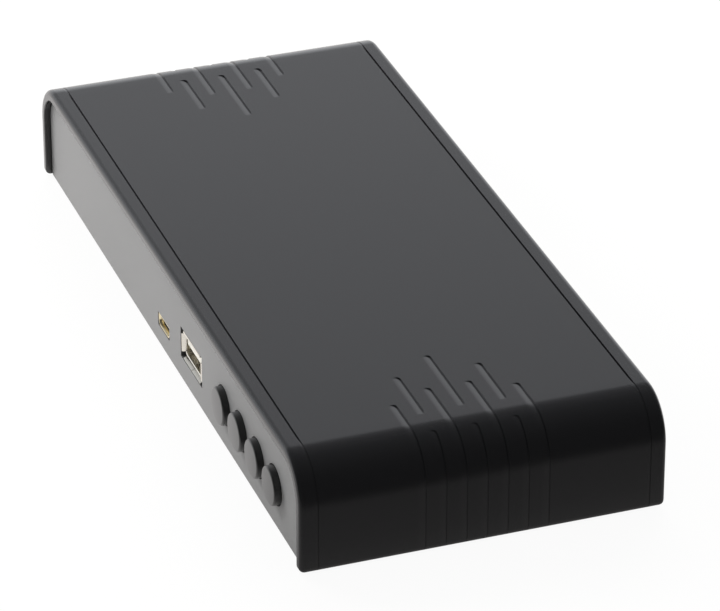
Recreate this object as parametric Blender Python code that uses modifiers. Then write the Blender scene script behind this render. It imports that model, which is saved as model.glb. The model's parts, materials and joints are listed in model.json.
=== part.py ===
"""A small media player box: a folded plastic cover over a tray, with its board, sockets and four buttons.

The box stands on four feet. Its length runs along X and its width along Y. The side at -Y holds the
small sockets and the push buttons, and the side at +Y holds the picture, sound and power sockets.
The origin is on the ground, under the middle of the box.
"""

import math

import bmesh
import bpy
from mathutils import Matrix, Vector

MM = 0.001

# Clearances and cutting allowances
GAP = 0.3 * MM
OVERRUN = 2.0 * MM
MERGE_DISTANCE = 0.001 * MM
SHARP_ANGLE = math.radians(35)

# The case as a whole
CASE_LENGTH = 187.0 * MM
CASE_WIDTH = 80.0 * MM
CASE_HEIGHT = 24.7 * MM
FOOT_PROUD = 0.6 * MM

# The cover, which is folded down at both ends
COVER_WALL = 2.5 * MM
COVER_EDGE_RADIUS = 1.2 * MM
FOLD_RADIUS = 10.0 * MM
FOLD_STEPS = 10
LINE_INSET = 3.8 * MM
LINE_WIDTH = 0.5 * MM
LINE_DEPTH = 0.4 * MM

# The moulded grooves at both ends of the cover, measured along its face from where the fold begins.
# A groove's floor slopes down from its -Y side to a steep wall at its +Y side
RIB_PITCH = 4.5 * MM
RIB_WIDTH = 1.8 * MM
RIB_DEPTH = 0.32 * MM
RIB_SHALLOW_DEPTH = 0.04 * MM
RIB_SIDE_SHIFT = 0.25 * MM
RIB_MIDDLE_START_BEFORE_FOLD = 25.0 * MM
RIB_MIDDLE_END_BEFORE_FOLD = 3.6 * MM
RIB_SECOND_START_BEFORE_FOLD = 18.6 * MM
RIB_SECOND_END_BEFORE_FOLD = 3.1 * MM
RIB_INNER_LONG_BEFORE_FOLD = 12.4 * MM
RIB_OUTER_LONG_BEFORE_FOLD = 8.3 * MM
RIB_LOWER_START_AFTER_FOLD = 3.1 * MM
ROUND_END_ANGLES = (80, 55, 28, 0)

# The tray, whose side walls stand inside the cover's edges
PANEL_INSET = 1.5 * MM
PANEL_WALL = 2.0 * MM
TRAY_FLOOR = 1.4 * MM
VENT_COUNT = 7
VENT_PITCH = 4.0 * MM
VENT_WIDTH = 2.0 * MM
VENT_LENGTH = 22.0 * MM

# Feet, placed from the ends and sides of the case
FOOT_RADIUS = 5.0 * MM
FOOT_POCKET_DEPTH = 0.8 * MM
FOOT_FROM_END = 23.5 * MM
FOOT_FROM_SIDE = 9.0 * MM

# Case screws and the posts that they pass through, placed from the ends and sides of the case
CASE_SCREW_FROM_END = 15.5 * MM
CASE_SCREW_FROM_SIDE = 20.0 * MM
CASE_SCREW_RADIUS = 1.5 * MM
CASE_SCREW_LENGTH = 10.0 * MM
CASE_SCREW_HEAD_RADIUS = 2.7 * MM
CASE_SCREW_HEAD_HEIGHT = 2.0 * MM
CASE_SCREW_RECESS = 1.1 * MM
POST_RADIUS = 4.2 * MM
POST_HEIGHT = 5.2 * MM
POST_SEAT = 2.4 * MM
BOSS_RADIUS = 3.5 * MM
CROSS_WIDTH = 0.7 * MM
CROSS_SHARE = 1.3

# The main board, its screws and the pillars under it. All that it carries is placed from the near end
BOARD_UNDER_SPACE = 1.4 * MM
BOARD_THICKNESS = 1.6 * MM
BOARD_FROM_END = 7.5 * MM
BOARD_LENGTH = 134.0 * MM
BOARD_EDGE_GAP = 0.5 * MM
BOARD_SCREW_MARGIN_X = 4.0 * MM
BOARD_SCREW_MARGIN_Y = 5.0 * MM
BOARD_SCREW_RADIUS = 1.0 * MM
BOARD_SCREW_HEAD_RADIUS = 2.1 * MM
BOARD_SCREW_HEAD_HEIGHT = 1.3 * MM
BOARD_SCREW_RECESS = 0.7 * MM
PILLAR_RADIUS = 2.5 * MM
PILLAR_FLOOR_LEFT = 0.5 * MM

# How far the socket mouths sit behind the outer face of the panel
MOUTH_RECESS = 0.1 * MM

# USB host socket
USB_A_FROM_END = 76.6 * MM
USB_A_LIFT = 1.2 * MM
USB_A_WIDTH = 13.4 * MM
USB_A_HEIGHT = 6.3 * MM
USB_A_DEPTH = 14.0 * MM
USB_A_WALL = 0.4 * MM
USB_A_LIP_WIDTH = 14.3 * MM
USB_A_LIP_HEIGHT = 6.8 * MM
USB_A_LIP_THICKNESS = 0.4 * MM
USB_A_LEG = 1.2 * MM
USB_A_TONGUE_THICKNESS = 1.8 * MM
USB_A_TONGUE_LENGTH = 9.5 * MM
USB_A_TONGUE_MARGIN = 0.6 * MM
USB_A_TONGUE_DROP = 0.8 * MM
USB_A_BLOCK_DEPTH = 3.0 * MM

# Small USB socket
MICRO_USB_FROM_END = 96.55 * MM
MICRO_USB_WIDTH = 7.5 * MM
MICRO_USB_HEIGHT = 2.6 * MM
MICRO_USB_DEPTH = 5.6 * MM
MICRO_USB_WALL = 0.3 * MM
MICRO_USB_CHAMFER = 0.8 * MM
MICRO_USB_TONGUE_THICKNESS = 0.6 * MM
MICRO_USB_TONGUE_LENGTH = 3.0 * MM
MICRO_USB_TONGUE_WIDTH = 3.7 * MM
MICRO_USB_TONGUE_DROP = 0.3 * MM
MICRO_USB_BLOCK_DEPTH = 1.2 * MM

# Push buttons and their switches
BUTTON_COUNT = 4
BUTTON_FIRST_FROM_END = 54.2 * MM
BUTTON_PITCH = 11.3 * MM
BUTTON_HEIGHT = 9.5 * MM
BUTTON_RADIUS = 4.25 * MM
BUTTON_PROUD = 1.65 * MM
BUTTON_EDGE_RADIUS = 0.4 * MM
BUTTON_CROWN = 0.1 * MM
BUTTON_CROWN_RINGS = 4
BUTTON_FLANGE_RADIUS = 5.1 * MM
BUTTON_FLANGE_THICKNESS = 0.8 * MM
BUTTON_TRAVEL = 0.5 * MM
PLUNGER_RADIUS = 1.7 * MM
PLUNGER_LENGTH = 3.5 * MM
PLUNGER_BURIED = 1.2 * MM
SWITCH_WIDTH = 6.2 * MM
SWITCH_HEAD_ROOM = 3.1 * MM
SWITCH_DEPTH = 3.6 * MM

# Picture socket
HDMI_FROM_END = 69.5 * MM
HDMI_WIDTH = 15.2 * MM
HDMI_HEIGHT = 5.7 * MM
HDMI_DEPTH = 11.5 * MM
HDMI_WALL = 0.5 * MM
HDMI_CHAMFER = 1.9 * MM
HDMI_TONGUE_THICKNESS = 1.4 * MM
HDMI_TONGUE_LENGTH = 7.0 * MM
HDMI_TONGUE_WIDTH = 10.4 * MM
HDMI_BLOCK_DEPTH = 3.0 * MM

# Sound and picture jack
AV_JACK_FROM_END = 45.5 * MM
AV_JACK_WIDTH = 7.0 * MM
AV_JACK_HEIGHT = 6.4 * MM
AV_JACK_DEPTH = 12.0 * MM
AV_JACK_NOSE_RADIUS = 2.9 * MM
AV_JACK_BORE_RADIUS = 1.8 * MM
AV_JACK_BORE_DEPTH = 12.5 * MM

# Power jack
DC_JACK_FROM_END = 23.5 * MM
DC_JACK_WIDTH = 9.0 * MM
DC_JACK_HEIGHT = 10.6 * MM
DC_JACK_DEPTH = 12.0 * MM
DC_JACK_NOSE_RADIUS = 4.2 * MM
DC_JACK_BORE_RADIUS = 3.2 * MM
DC_JACK_BORE_DEPTH = 10.0 * MM
DC_PIN_RADIUS = 1.0 * MM
DC_PIN_LENGTH = 8.6 * MM
DC_PIN_ROOT = 2.0 * MM

# Status light and remote control receiver
LED_FROM_END = 87.5 * MM
LED_HEIGHT = 9.0 * MM
LED_RADIUS = 1.5 * MM
LED_LENGTH = 5.0 * MM
LED_LEG = 0.5 * MM
LED_LEG_SPACING = 2.0 * MM
RECEIVER_FROM_END = 103.5 * MM
RECEIVER_WIDTH = 6.0 * MM
RECEIVER_HEIGHT = 7.6 * MM
RECEIVER_DEPTH = 3.0 * MM
RECEIVER_LENS_RADIUS = 2.2 * MM
RECEIVER_WINDOW_RADIUS = 2.8 * MM

# Processor with its pad and heat sink
PROCESSOR_FROM_END = 83.5 * MM
PROCESSOR_Y = 0.0 * MM
PROCESSOR_SIZE = 17.0 * MM
PROCESSOR_HEIGHT = 1.4 * MM
PAD_THICKNESS = 0.7 * MM
PAD_SIZE = 15.0 * MM
SINK_SIZE = 24.0 * MM
SINK_BASE = 2.0 * MM
SINK_HEIGHT = 8.0 * MM
SINK_FIN = 1.2 * MM
SINK_FIN_COUNT = 7

# Chips and other parts on the board
MEMORY_WIDTH = 8.0 * MM
MEMORY_LENGTH = 12.5 * MM
CHIP_HEIGHT = 1.1 * MM
MEMORY_FROM_END = 107.5 * MM
MEMORY_SPACING_Y = 17.0 * MM
FLASH_FROM_END = 125.5 * MM
FLASH_Y = -14.0 * MM
FLASH_WIDTH = 6.0 * MM
FLASH_LENGTH = 8.0 * MM
CRYSTAL_FROM_END = 64.5 * MM
CRYSTAL_Y = -4.0 * MM
CRYSTAL_LENGTH = 11.0 * MM
CRYSTAL_WIDTH = 4.6 * MM
CRYSTAL_HEIGHT = 3.5 * MM
INDUCTOR_FROM_END = 33.5 * MM
INDUCTOR_Y = 4.0 * MM
INDUCTOR_SIZE = 7.2 * MM
INDUCTOR_HEIGHT = 4.0 * MM
INDUCTOR_ROUNDING = 1.6 * MM
CAPACITOR_COUNT = 2
CAPACITOR_FROM_END = 43.5 * MM
CAPACITOR_PITCH = 20.0 * MM
CAPACITOR_FROM_REAR = 21.0 * MM
CAPACITOR_RADIUS = 3.15 * MM
CAPACITOR_HEIGHT = 7.7 * MM
CAPACITOR_BASE = 6.6 * MM
CAPACITOR_BASE_HEIGHT = 1.0 * MM
CAPACITOR_EDGE = 0.4 * MM
REGULATOR_FROM_END = 47.5 * MM
REGULATOR_Y = -2.0 * MM
REGULATOR_LENGTH = 6.5 * MM
REGULATOR_WIDTH = 3.5 * MM
REGULATOR_HEIGHT = 1.7 * MM
REGULATOR_TAB_LENGTH = 1.6 * MM
REGULATOR_TAB_WIDTH = 3.0 * MM
REGULATOR_TAB_HEIGHT = 0.5 * MM

# Places along the box, worked out from its near end
NEAR_END_X = CASE_LENGTH / 2
FOLD_START = NEAR_END_X - FOLD_RADIUS
FOLD_LENGTH = FOLD_RADIUS * math.pi / 2
BOARD_NEAR_X = NEAR_END_X - BOARD_FROM_END
BOARD_FAR_X = BOARD_NEAR_X - BOARD_LENGTH
USB_A_X = NEAR_END_X - USB_A_FROM_END
MICRO_USB_X = NEAR_END_X - MICRO_USB_FROM_END
HDMI_X = NEAR_END_X - HDMI_FROM_END
AV_JACK_X = NEAR_END_X - AV_JACK_FROM_END
DC_JACK_X = NEAR_END_X - DC_JACK_FROM_END
LED_X = NEAR_END_X - LED_FROM_END
RECEIVER_X = NEAR_END_X - RECEIVER_FROM_END
PROCESSOR_X = NEAR_END_X - PROCESSOR_FROM_END
MEMORY_X = NEAR_END_X - MEMORY_FROM_END
FLASH_X = NEAR_END_X - FLASH_FROM_END
CRYSTAL_X = NEAR_END_X - CRYSTAL_FROM_END
INDUCTOR_X = NEAR_END_X - INDUCTOR_FROM_END
REGULATOR_X = NEAR_END_X - REGULATOR_FROM_END

# Heights and faces that several pieces share
BASE_Z = FOOT_PROUD
TOP_Z = BASE_Z + CASE_HEIGHT
CEILING_Z = TOP_Z - COVER_WALL
FLOOR_Z = BASE_Z + TRAY_FLOOR
BOARD_TOP_Z = FLOOR_Z + BOARD_UNDER_SPACE + BOARD_THICKNESS
SEAT_Z = BOARD_TOP_Z + GAP
PANEL_OUTER_Y = CASE_WIDTH / 2 - PANEL_INSET
PANEL_INNER_Y = PANEL_OUTER_Y - PANEL_WALL
MOUTH_Y = PANEL_OUTER_Y - MOUTH_RECESS
TRAY_HALF_LENGTH = CASE_LENGTH / 2 - COVER_WALL - GAP
TRAY_WALL_TOP_Z = CEILING_Z - GAP
BOARD_REAR_Y = PANEL_INNER_Y - BOARD_EDGE_GAP
BOARD_FRONT_Y = -PANEL_INNER_Y + GAP + BUTTON_FLANGE_THICKNESS + BUTTON_TRAVEL + GAP
POST_TOP_Z = FLOOR_Z + POST_HEIGHT
POST_SEAT_Z = POST_TOP_Z - POST_SEAT
BUTTON_Z = BASE_Z + BUTTON_HEIGHT
USB_A_Z = SEAT_Z + USB_A_LIFT + USB_A_HEIGHT / 2
MICRO_USB_Z = SEAT_Z + MICRO_USB_HEIGHT / 2
HDMI_Z = SEAT_Z + HDMI_HEIGHT / 2
AV_JACK_Z = SEAT_Z + AV_JACK_HEIGHT / 2
DC_JACK_Z = SEAT_Z + DC_JACK_HEIGHT / 2
LED_Z = BASE_Z + LED_HEIGHT
RECEIVER_Z = SEAT_Z + RECEIVER_HEIGHT / 2
PROCESSOR_TOP_Z = SEAT_Z + PROCESSOR_HEIGHT
PAD_Z = PROCESSOR_TOP_Z + GAP
SINK_Z = PAD_Z + PAD_THICKNESS + GAP

# How steeply the floor of a moulded groove sinks across its width
RIB_SLOPE = (RIB_DEPTH - RIB_SHALLOW_DEPTH) / RIB_WIDTH

# How each material looks: colour, roughness and metallic value
MATERIALS = {
    "satin_black_plastic": ((0.018, 0.018, 0.020), 0.36, 0.0),
    "black_side_plastic": ((0.020, 0.020, 0.022), 0.40, 0.0),
    "button_plastic": ((0.020, 0.020, 0.022), 0.38, 0.0),
    "foot_rubber": ((0.012, 0.012, 0.012), 0.85, 0.0),
    "zinc_plated_steel": ((0.62, 0.62, 0.64), 0.32, 1.0),
    "tin_plated_steel": ((0.74, 0.73, 0.70), 0.25, 1.0),
    "gold_plated_steel": ((0.83, 0.68, 0.38), 0.28, 1.0),
    "socket_insulator": ((0.020, 0.020, 0.020), 0.50, 0.0),
    "white_insulator": ((0.72, 0.71, 0.68), 0.45, 0.0),
    "switch_plunger_plastic": ((0.06, 0.06, 0.06), 0.45, 0.0),
    "green_board": ((0.015, 0.13, 0.05), 0.40, 0.0),
    "chip_epoxy": ((0.025, 0.025, 0.028), 0.50, 0.0),
    "thermal_pad": ((0.45, 0.50, 0.56), 0.80, 0.0),
    "anodised_aluminium": ((0.05, 0.05, 0.055), 0.45, 1.0),
    "capacitor_aluminium": ((0.72, 0.73, 0.75), 0.35, 1.0),
    "led_lens": ((0.75, 0.10, 0.08), 0.15, 0.0),
    "receiver_epoxy": ((0.020, 0.012, 0.015), 0.12, 0.0),
}


def clear_scene():
    for old in list(bpy.data.objects):
        bpy.data.objects.remove(old, do_unlink=True)


def make_collection(name, parent):
    collection = bpy.data.collections.new(name)
    parent.children.link(collection)
    return collection


def make_materials():
    materials = {}
    for name, (colour, roughness, metallic) in MATERIALS.items():
        material = bpy.data.materials.new(name)
        material.use_nodes = True
        shader = material.node_tree.nodes["Principled BSDF"]
        shader.inputs["Base Color"].default_value = (*colour, 1)
        shader.inputs["Roughness"].default_value = roughness
        shader.inputs["Metallic"].default_value = metallic
        materials[name] = material
    return materials


clear_scene()
BOX_PARTS = make_collection("media_player_box", bpy.context.scene.collection)
BOX_CUTTERS = make_collection("media_player_box_cutters", bpy.context.scene.collection)
FINISHES = make_materials()


def add_object(name, data, place, finish=None):
    obj = bpy.data.objects.new(name, data)
    obj.location = place
    if finish:
        data.materials.append(FINISHES[finish])
    BOX_PARTS.objects.link(obj)
    return obj


def mesh_from(bm, name):
    mesh = bpy.data.meshes.new(name)
    bm.to_mesh(mesh)
    bm.free()
    return mesh


def block(name, low, high, finish=None, rounding=0, steps=2):
    """A box between two corners, with rounded edges if asked."""
    low = Vector(low)
    high = Vector(high)
    bm = bmesh.new()
    bmesh.ops.create_cube(bm, size=1)
    bmesh.ops.scale(bm, vec=high - low, verts=bm.verts)
    obj = add_object(name, mesh_from(bm, name), (low + high) / 2, finish)
    if rounding:
        bevel = obj.modifiers.new("rounding", "BEVEL")
        bevel.width = rounding
        bevel.segments = steps
    return obj


AXIS_TURNS = {
    "X": Matrix.Rotation(math.pi / 2, 4, "Y"),
    "Y": Matrix.Rotation(-math.pi / 2, 4, "X"),
    "Z": Matrix.Identity(4),
}


def cylinder(name, axis, start, length, radius, finish=None, sides=32):
    """A round bar that starts at a point and runs the given length along +axis."""
    bm = bmesh.new()
    bmesh.ops.create_cone(bm, cap_ends=True, segments=sides, radius1=radius, radius2=radius, depth=length)
    bmesh.ops.translate(bm, vec=(0, 0, length / 2), verts=bm.verts)
    bmesh.ops.transform(bm, matrix=AXIS_TURNS[axis], verts=bm.verts)
    mesh = mesh_from(bm, name)
    mesh.shade_smooth()
    mesh.set_sharp_from_angle(angle=SHARP_ANGLE)
    return add_object(name, mesh, start, finish)


def turned(name, profile, place, turn, finish=None, steps=32):
    """A turned piece: a profile of radius and height, from its top to its bottom, spun about its axis."""
    bm = bmesh.new()
    points = [bm.verts.new((radius, 0, height)) for radius, height in profile]
    for first, second in zip(points, points[1:]):
        bm.edges.new((first, second))
    obj = add_object(name, mesh_from(bm, name), place, finish)
    obj.rotation_euler = turn
    spin = obj.modifiers.new("spin", "SCREW")
    spin.axis = "Z"
    spin.steps = steps
    spin.render_steps = steps
    spin.use_merge_vertices = True
    spin.merge_threshold = MERGE_DISTANCE
    spin.use_smooth_shade = True
    return obj


def curve_to_mesh(obj):
    """Swap a curve object for a mesh object with its caps welded."""
    bpy.context.view_layer.update()
    evaluated = obj.evaluated_get(bpy.context.evaluated_depsgraph_get())
    mesh = bpy.data.meshes.new_from_object(evaluated)
    bm = bmesh.new()
    bm.from_mesh(mesh)
    bmesh.ops.remove_doubles(bm, verts=bm.verts, dist=MERGE_DISTANCE)
    bm.to_mesh(mesh)
    bm.free()
    name = obj.name
    solid = bpy.data.objects.new(name + "_solid", mesh)
    solid.matrix_world = obj.matrix_world
    BOX_PARTS.objects.link(solid)
    bpy.data.objects.remove(obj, do_unlink=True)
    solid.name = name
    return solid


def outline_prism(name, points, place, thickness, finish=None):
    """A flat outline in X and Z, with half its thickness on each side of its place along Y."""
    curve = bpy.data.curves.new(name, "CURVE")
    curve.dimensions = "2D"
    curve.fill_mode = "BOTH"
    curve.extrude = thickness / 2
    spline = curve.splines.new("POLY")
    spline.points.add(len(points) - 1)
    for point, (x, z) in zip(spline.points, points):
        point.co = (x, z, 0, 1)
    spline.use_cyclic_u = True
    obj = add_object(name, curve, place, finish)
    obj.rotation_euler = (math.pi / 2, 0, 0)
    return curve_to_mesh(obj)


def apply_boolean(target, others, operation):
    """Cut the others out of the target, or join them to it, in one step."""
    label = f"{target.name}_{operation.lower()}_{len(target.modifiers)}"
    group = make_collection(label, BOX_CUTTERS)
    for other in others:
        BOX_PARTS.objects.unlink(other)
        group.objects.link(other)
        other.hide_render = True
        other.display_type = "WIRE"
    boolean = target.modifiers.new(operation.lower(), "BOOLEAN")
    boolean.operation = operation
    boolean.solver = "EXACT"
    boolean.operand_type = "COLLECTION"
    boolean.collection = group


def cut(target, cutters):
    apply_boolean(target, cutters, "DIFFERENCE")


def join(target, others):
    apply_boolean(target, others, "UNION")


def four_places(from_end, from_side):
    """Four places, each as far from its end and its side of the case as the others."""
    x = NEAR_END_X - from_end
    y = CASE_WIDTH / 2 - from_side
    return [(end * x, side * y) for end in (-1, 1) for side in (-1, 1)]


def board_screw_places():
    """Just inside the four corners of the board."""
    columns = (BOARD_FAR_X + BOARD_SCREW_MARGIN_X, BOARD_NEAR_X - BOARD_SCREW_MARGIN_X)
    rows = (BOARD_FRONT_Y + BOARD_SCREW_MARGIN_Y, BOARD_REAR_Y - BOARD_SCREW_MARGIN_Y)
    return [(x, y) for x in columns for y in rows]


def button_places():
    first = NEAR_END_X - BUTTON_FIRST_FROM_END
    return [first + i * BUTTON_PITCH for i in range(BUTTON_COUNT)]


def on_cover(distance, lift):
    """Where a point lies in X and Z that is a distance along the cover's face from its middle."""
    radius = FOLD_RADIUS + lift
    if distance <= FOLD_START:
        return distance, TOP_Z + lift
    if distance >= FOLD_START + FOLD_LENGTH:
        return FOLD_START + radius, TOP_Z - FOLD_RADIUS - (distance - FOLD_START - FOLD_LENGTH)
    angle = (distance - FOLD_START) / FOLD_RADIUS
    return FOLD_START + radius * math.sin(angle), TOP_Z - FOLD_RADIUS + radius * math.cos(angle)


def face_length():
    """How far the cover's face runs from its middle to its lower edge."""
    return FOLD_START + FOLD_LENGTH + CASE_HEIGHT - FOLD_RADIUS


def fold_stations(first, last):
    """Distances along the face at which the fold bends, between two others."""
    bends = [FOLD_START + FOLD_LENGTH * i / FOLD_STEPS for i in range(FOLD_STEPS + 1)]
    return [bend for bend in bends if first < bend < last]


def cover_strip(name, width, place_y, lift, thickness, overhang, finish=None):
    """A strip that follows the whole cover, from end to end, with its wall turned inwards."""
    end = face_length() + overhang
    half = [0] + fold_stations(0, end) + [end]
    places = [on_cover(distance, lift) for distance in half]
    places = [(-x, z) for x, z in reversed(places[1:])] + places
    bm = bmesh.new()
    points = [bm.verts.new((x, -width / 2, z)) for x, z in places]
    edges = [bm.edges.new(pair) for pair in zip(points, points[1:])]
    grown = bmesh.ops.extrude_edge_only(bm, edges=edges)["geom"]
    far_side = [item for item in grown if isinstance(item, bmesh.types.BMVert)]
    bmesh.ops.translate(bm, vec=(0, width, 0), verts=far_side)
    bmesh.ops.recalc_face_normals(bm, faces=bm.faces)
    if sum(face.normal.z for face in bm.faces) < 0:
        bmesh.ops.reverse_faces(bm, faces=bm.faces)
    obj = add_object(name, mesh_from(bm, name), (0, place_y, 0), finish)
    wall = obj.modifiers.new("wall", "SOLIDIFY")
    wall.thickness = thickness
    wall.offset = -1
    wall.use_even_offset = True
    return obj


def groove_stations(start, end, open_end):
    """Distances along a groove and the share of its full width there, small at its round ends."""
    reach = [RIB_WIDTH / 2 * math.sin(math.radians(angle)) for angle in ROUND_END_ANGLES]
    shares = [math.cos(math.radians(angle)) for angle in ROUND_END_ANGLES]
    first = start + RIB_WIDTH / 2
    last = end if open_end else end - RIB_WIDTH / 2
    stations = [(first - back, share) for back, share in zip(reach, shares)]
    stations += [(bend, 1) for bend in fold_stations(first, last)]
    if open_end:
        return stations + [(last, 1)]
    return stations + [(last + back, share) for back, share in zip(reversed(reach), reversed(shares))]


def groove_cutter(name, side, y, start, end, open_end):
    """A bar along the cover's face with a sloping underside, which leaves a ramp and a steep wall."""
    bm = bmesh.new()
    rings = []
    for distance, share in groove_stations(start, end, open_end):
        half = share * RIB_WIDTH / 2
        middle_depth = (RIB_DEPTH + RIB_SHALLOW_DEPTH) / 2
        shallow, deep = middle_depth - half * RIB_SLOPE, middle_depth + half * RIB_SLOPE
        ring = []
        for across, lift in ((-half, -shallow), (half, -deep), (half, OVERRUN), (-half, OVERRUN)):
            x, z = on_cover(distance, lift)
            ring.append(bm.verts.new((side * x, y + across, z)))
        rings.append(ring)
    for before, after in zip(rings, rings[1:]):
        for i in range(len(before)):
            bm.faces.new((before[i - 1], before[i], after[i], after[i - 1]))
    bm.faces.new(rings[0])
    bm.faces.new(rings[-1])
    bmesh.ops.recalc_face_normals(bm, faces=bm.faces)
    return add_object(name, mesh_from(bm, name), (0, 0, 0))


def groove_cutters():
    """Seven tracks at each end: even ones have a short slot and a lower groove, odd ones are long."""
    lower_edge = face_length() + OVERRUN
    lower = (FOLD_START + RIB_LOWER_START_AFTER_FOLD, lower_edge, True)
    middle_start = FOLD_START - RIB_MIDDLE_START_BEFORE_FOLD
    middle_end = FOLD_START - RIB_MIDDLE_END_BEFORE_FOLD
    second_start = FOLD_START - RIB_SECOND_START_BEFORE_FOLD
    second_end = FOLD_START - RIB_SECOND_END_BEFORE_FOLD
    runs = {
        0: [(middle_start, middle_end, False), lower],
        1: [(FOLD_START - RIB_INNER_LONG_BEFORE_FOLD, lower_edge, True)],
        2: [(second_start, second_end, False), lower],
        3: [(FOLD_START - RIB_OUTER_LONG_BEFORE_FOLD, lower_edge, True)],
    }
    cutters = []
    for end_name, side in (("far", -1), ("near", 1)):
        for track in range(-max(runs), max(runs) + 1):
            for i, (start, end, open_end) in enumerate(runs[abs(track)]):
                name = f"groove_{end_name}_{track + max(runs)}_{i}"
                place_y = track * RIB_PITCH - RIB_SIDE_SHIFT
                cutters.append(groove_cutter(name, side, place_y, start, end, open_end))
    return cutters


def make_top_cover():
    cover = cover_strip("top_cover", CASE_WIDTH, 0, 0, COVER_WALL, 0, "satin_black_plastic")
    bevel = cover.modifiers.new("edges", "BEVEL")
    bevel.width = COVER_EDGE_RADIUS
    bevel.segments = 3
    bevel.limit_method = "ANGLE"
    bevel.angle_limit = SHARP_ANGLE
    bosses = []
    holes = []
    boss_low = POST_TOP_Z + GAP
    hole_top = POST_SEAT_Z - GAP + CASE_SCREW_LENGTH + GAP
    for i, (x, y) in enumerate(four_places(CASE_SCREW_FROM_END, CASE_SCREW_FROM_SIDE)):
        boss_height = CEILING_Z + COVER_WALL / 2 - boss_low
        bosses.append(cylinder(f"boss_{i}", "Z", (x, y, boss_low), boss_height, BOSS_RADIUS, sides=24))
        depth = hole_top - boss_low + OVERRUN
        hole_radius = CASE_SCREW_RADIUS + GAP
        start = (x, y, boss_low - OVERRUN)
        holes.append(cylinder(f"boss_hole_{i}", "Z", start, depth, hole_radius, sides=24))
    join(cover, bosses)
    lines = []
    for side in (-1, 1):
        place_y = side * (CASE_WIDTH / 2 - LINE_INSET)
        name = f"edge_line_{side}"
        lines.append(cover_strip(name, LINE_WIDTH, place_y, OVERRUN, OVERRUN + LINE_DEPTH, OVERRUN))
    cut(cover, holes + lines + groove_cutters())
    return cover


def tray_blank():
    """The tray before it is hollowed: a bar that fills the cover, with rounded upper corners."""
    low = Vector((-TRAY_HALF_LENGTH, -PANEL_OUTER_Y, BASE_Z))
    high = Vector((TRAY_HALF_LENGTH, PANEL_OUTER_Y, TRAY_WALL_TOP_Z))
    middle = (low + high) / 2
    bm = bmesh.new()
    bmesh.ops.create_cube(bm, size=1)
    bmesh.ops.scale(bm, vec=high - low, verts=bm.verts)
    corners = []
    for edge in bm.edges:
        first, second = (vert.co for vert in edge.verts)
        if first.z > 0 and second.z > 0 and first.x == second.x:
            corners.append(edge)
    radius = FOLD_RADIUS - COVER_WALL - GAP
    bmesh.ops.bevel(bm, geom=corners, offset=radius, segments=FOLD_STEPS, profile=0.5, affect="EDGES",
                    material=-1)
    return add_object("bottom_tray", mesh_from(bm, "bottom_tray"), middle, "black_side_plastic")


def panel_cutters():
    """The openings in both side walls, each a clearance larger than what stands in it."""
    inner_y = PANEL_INNER_Y - OVERRUN
    reach = PANEL_WALL + 2 * OVERRUN
    front_y = -PANEL_OUTER_Y - OVERRUN
    front = (front_y, front_y + reach)
    rear = (inner_y, inner_y + reach)
    cutters = [
        window("usb_a_window", USB_A_X, USB_A_Z, USB_A_LIP_WIDTH, USB_A_LIP_HEIGHT, front),
        window("micro_usb_window", MICRO_USB_X, MICRO_USB_Z, MICRO_USB_WIDTH, MICRO_USB_HEIGHT, front),
        window("hdmi_window", HDMI_X, HDMI_Z, HDMI_WIDTH, HDMI_HEIGHT, rear),
    ]
    for i, x in enumerate(button_places()):
        start = (x, front_y, BUTTON_Z)
        cutters.append(cylinder(f"button_hole_{i}", "Y", start, reach, BUTTON_RADIUS + GAP))
    rounds = (
        ("av_jack_hole", AV_JACK_X, AV_JACK_Z, AV_JACK_NOSE_RADIUS + GAP),
        ("dc_jack_hole", DC_JACK_X, DC_JACK_Z, DC_JACK_NOSE_RADIUS + GAP),
        ("led_hole", LED_X, LED_Z, LED_RADIUS + GAP),
        ("receiver_window", RECEIVER_X, RECEIVER_Z, RECEIVER_WINDOW_RADIUS),
    )
    for name, x, z, radius in rounds:
        cutters.append(cylinder(name, "Y", (x, inner_y, z), reach, radius))
    return cutters


def window(name, x, z, width, height, span):
    """A cutter for a square opening, one clearance larger all round than the piece inside it."""
    half_width = width / 2 + GAP
    half_height = height / 2 + GAP
    low = (x - half_width, span[0], z - half_height)
    high = (x + half_width, span[1], z + half_height)
    return block(name, low, high)


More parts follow.
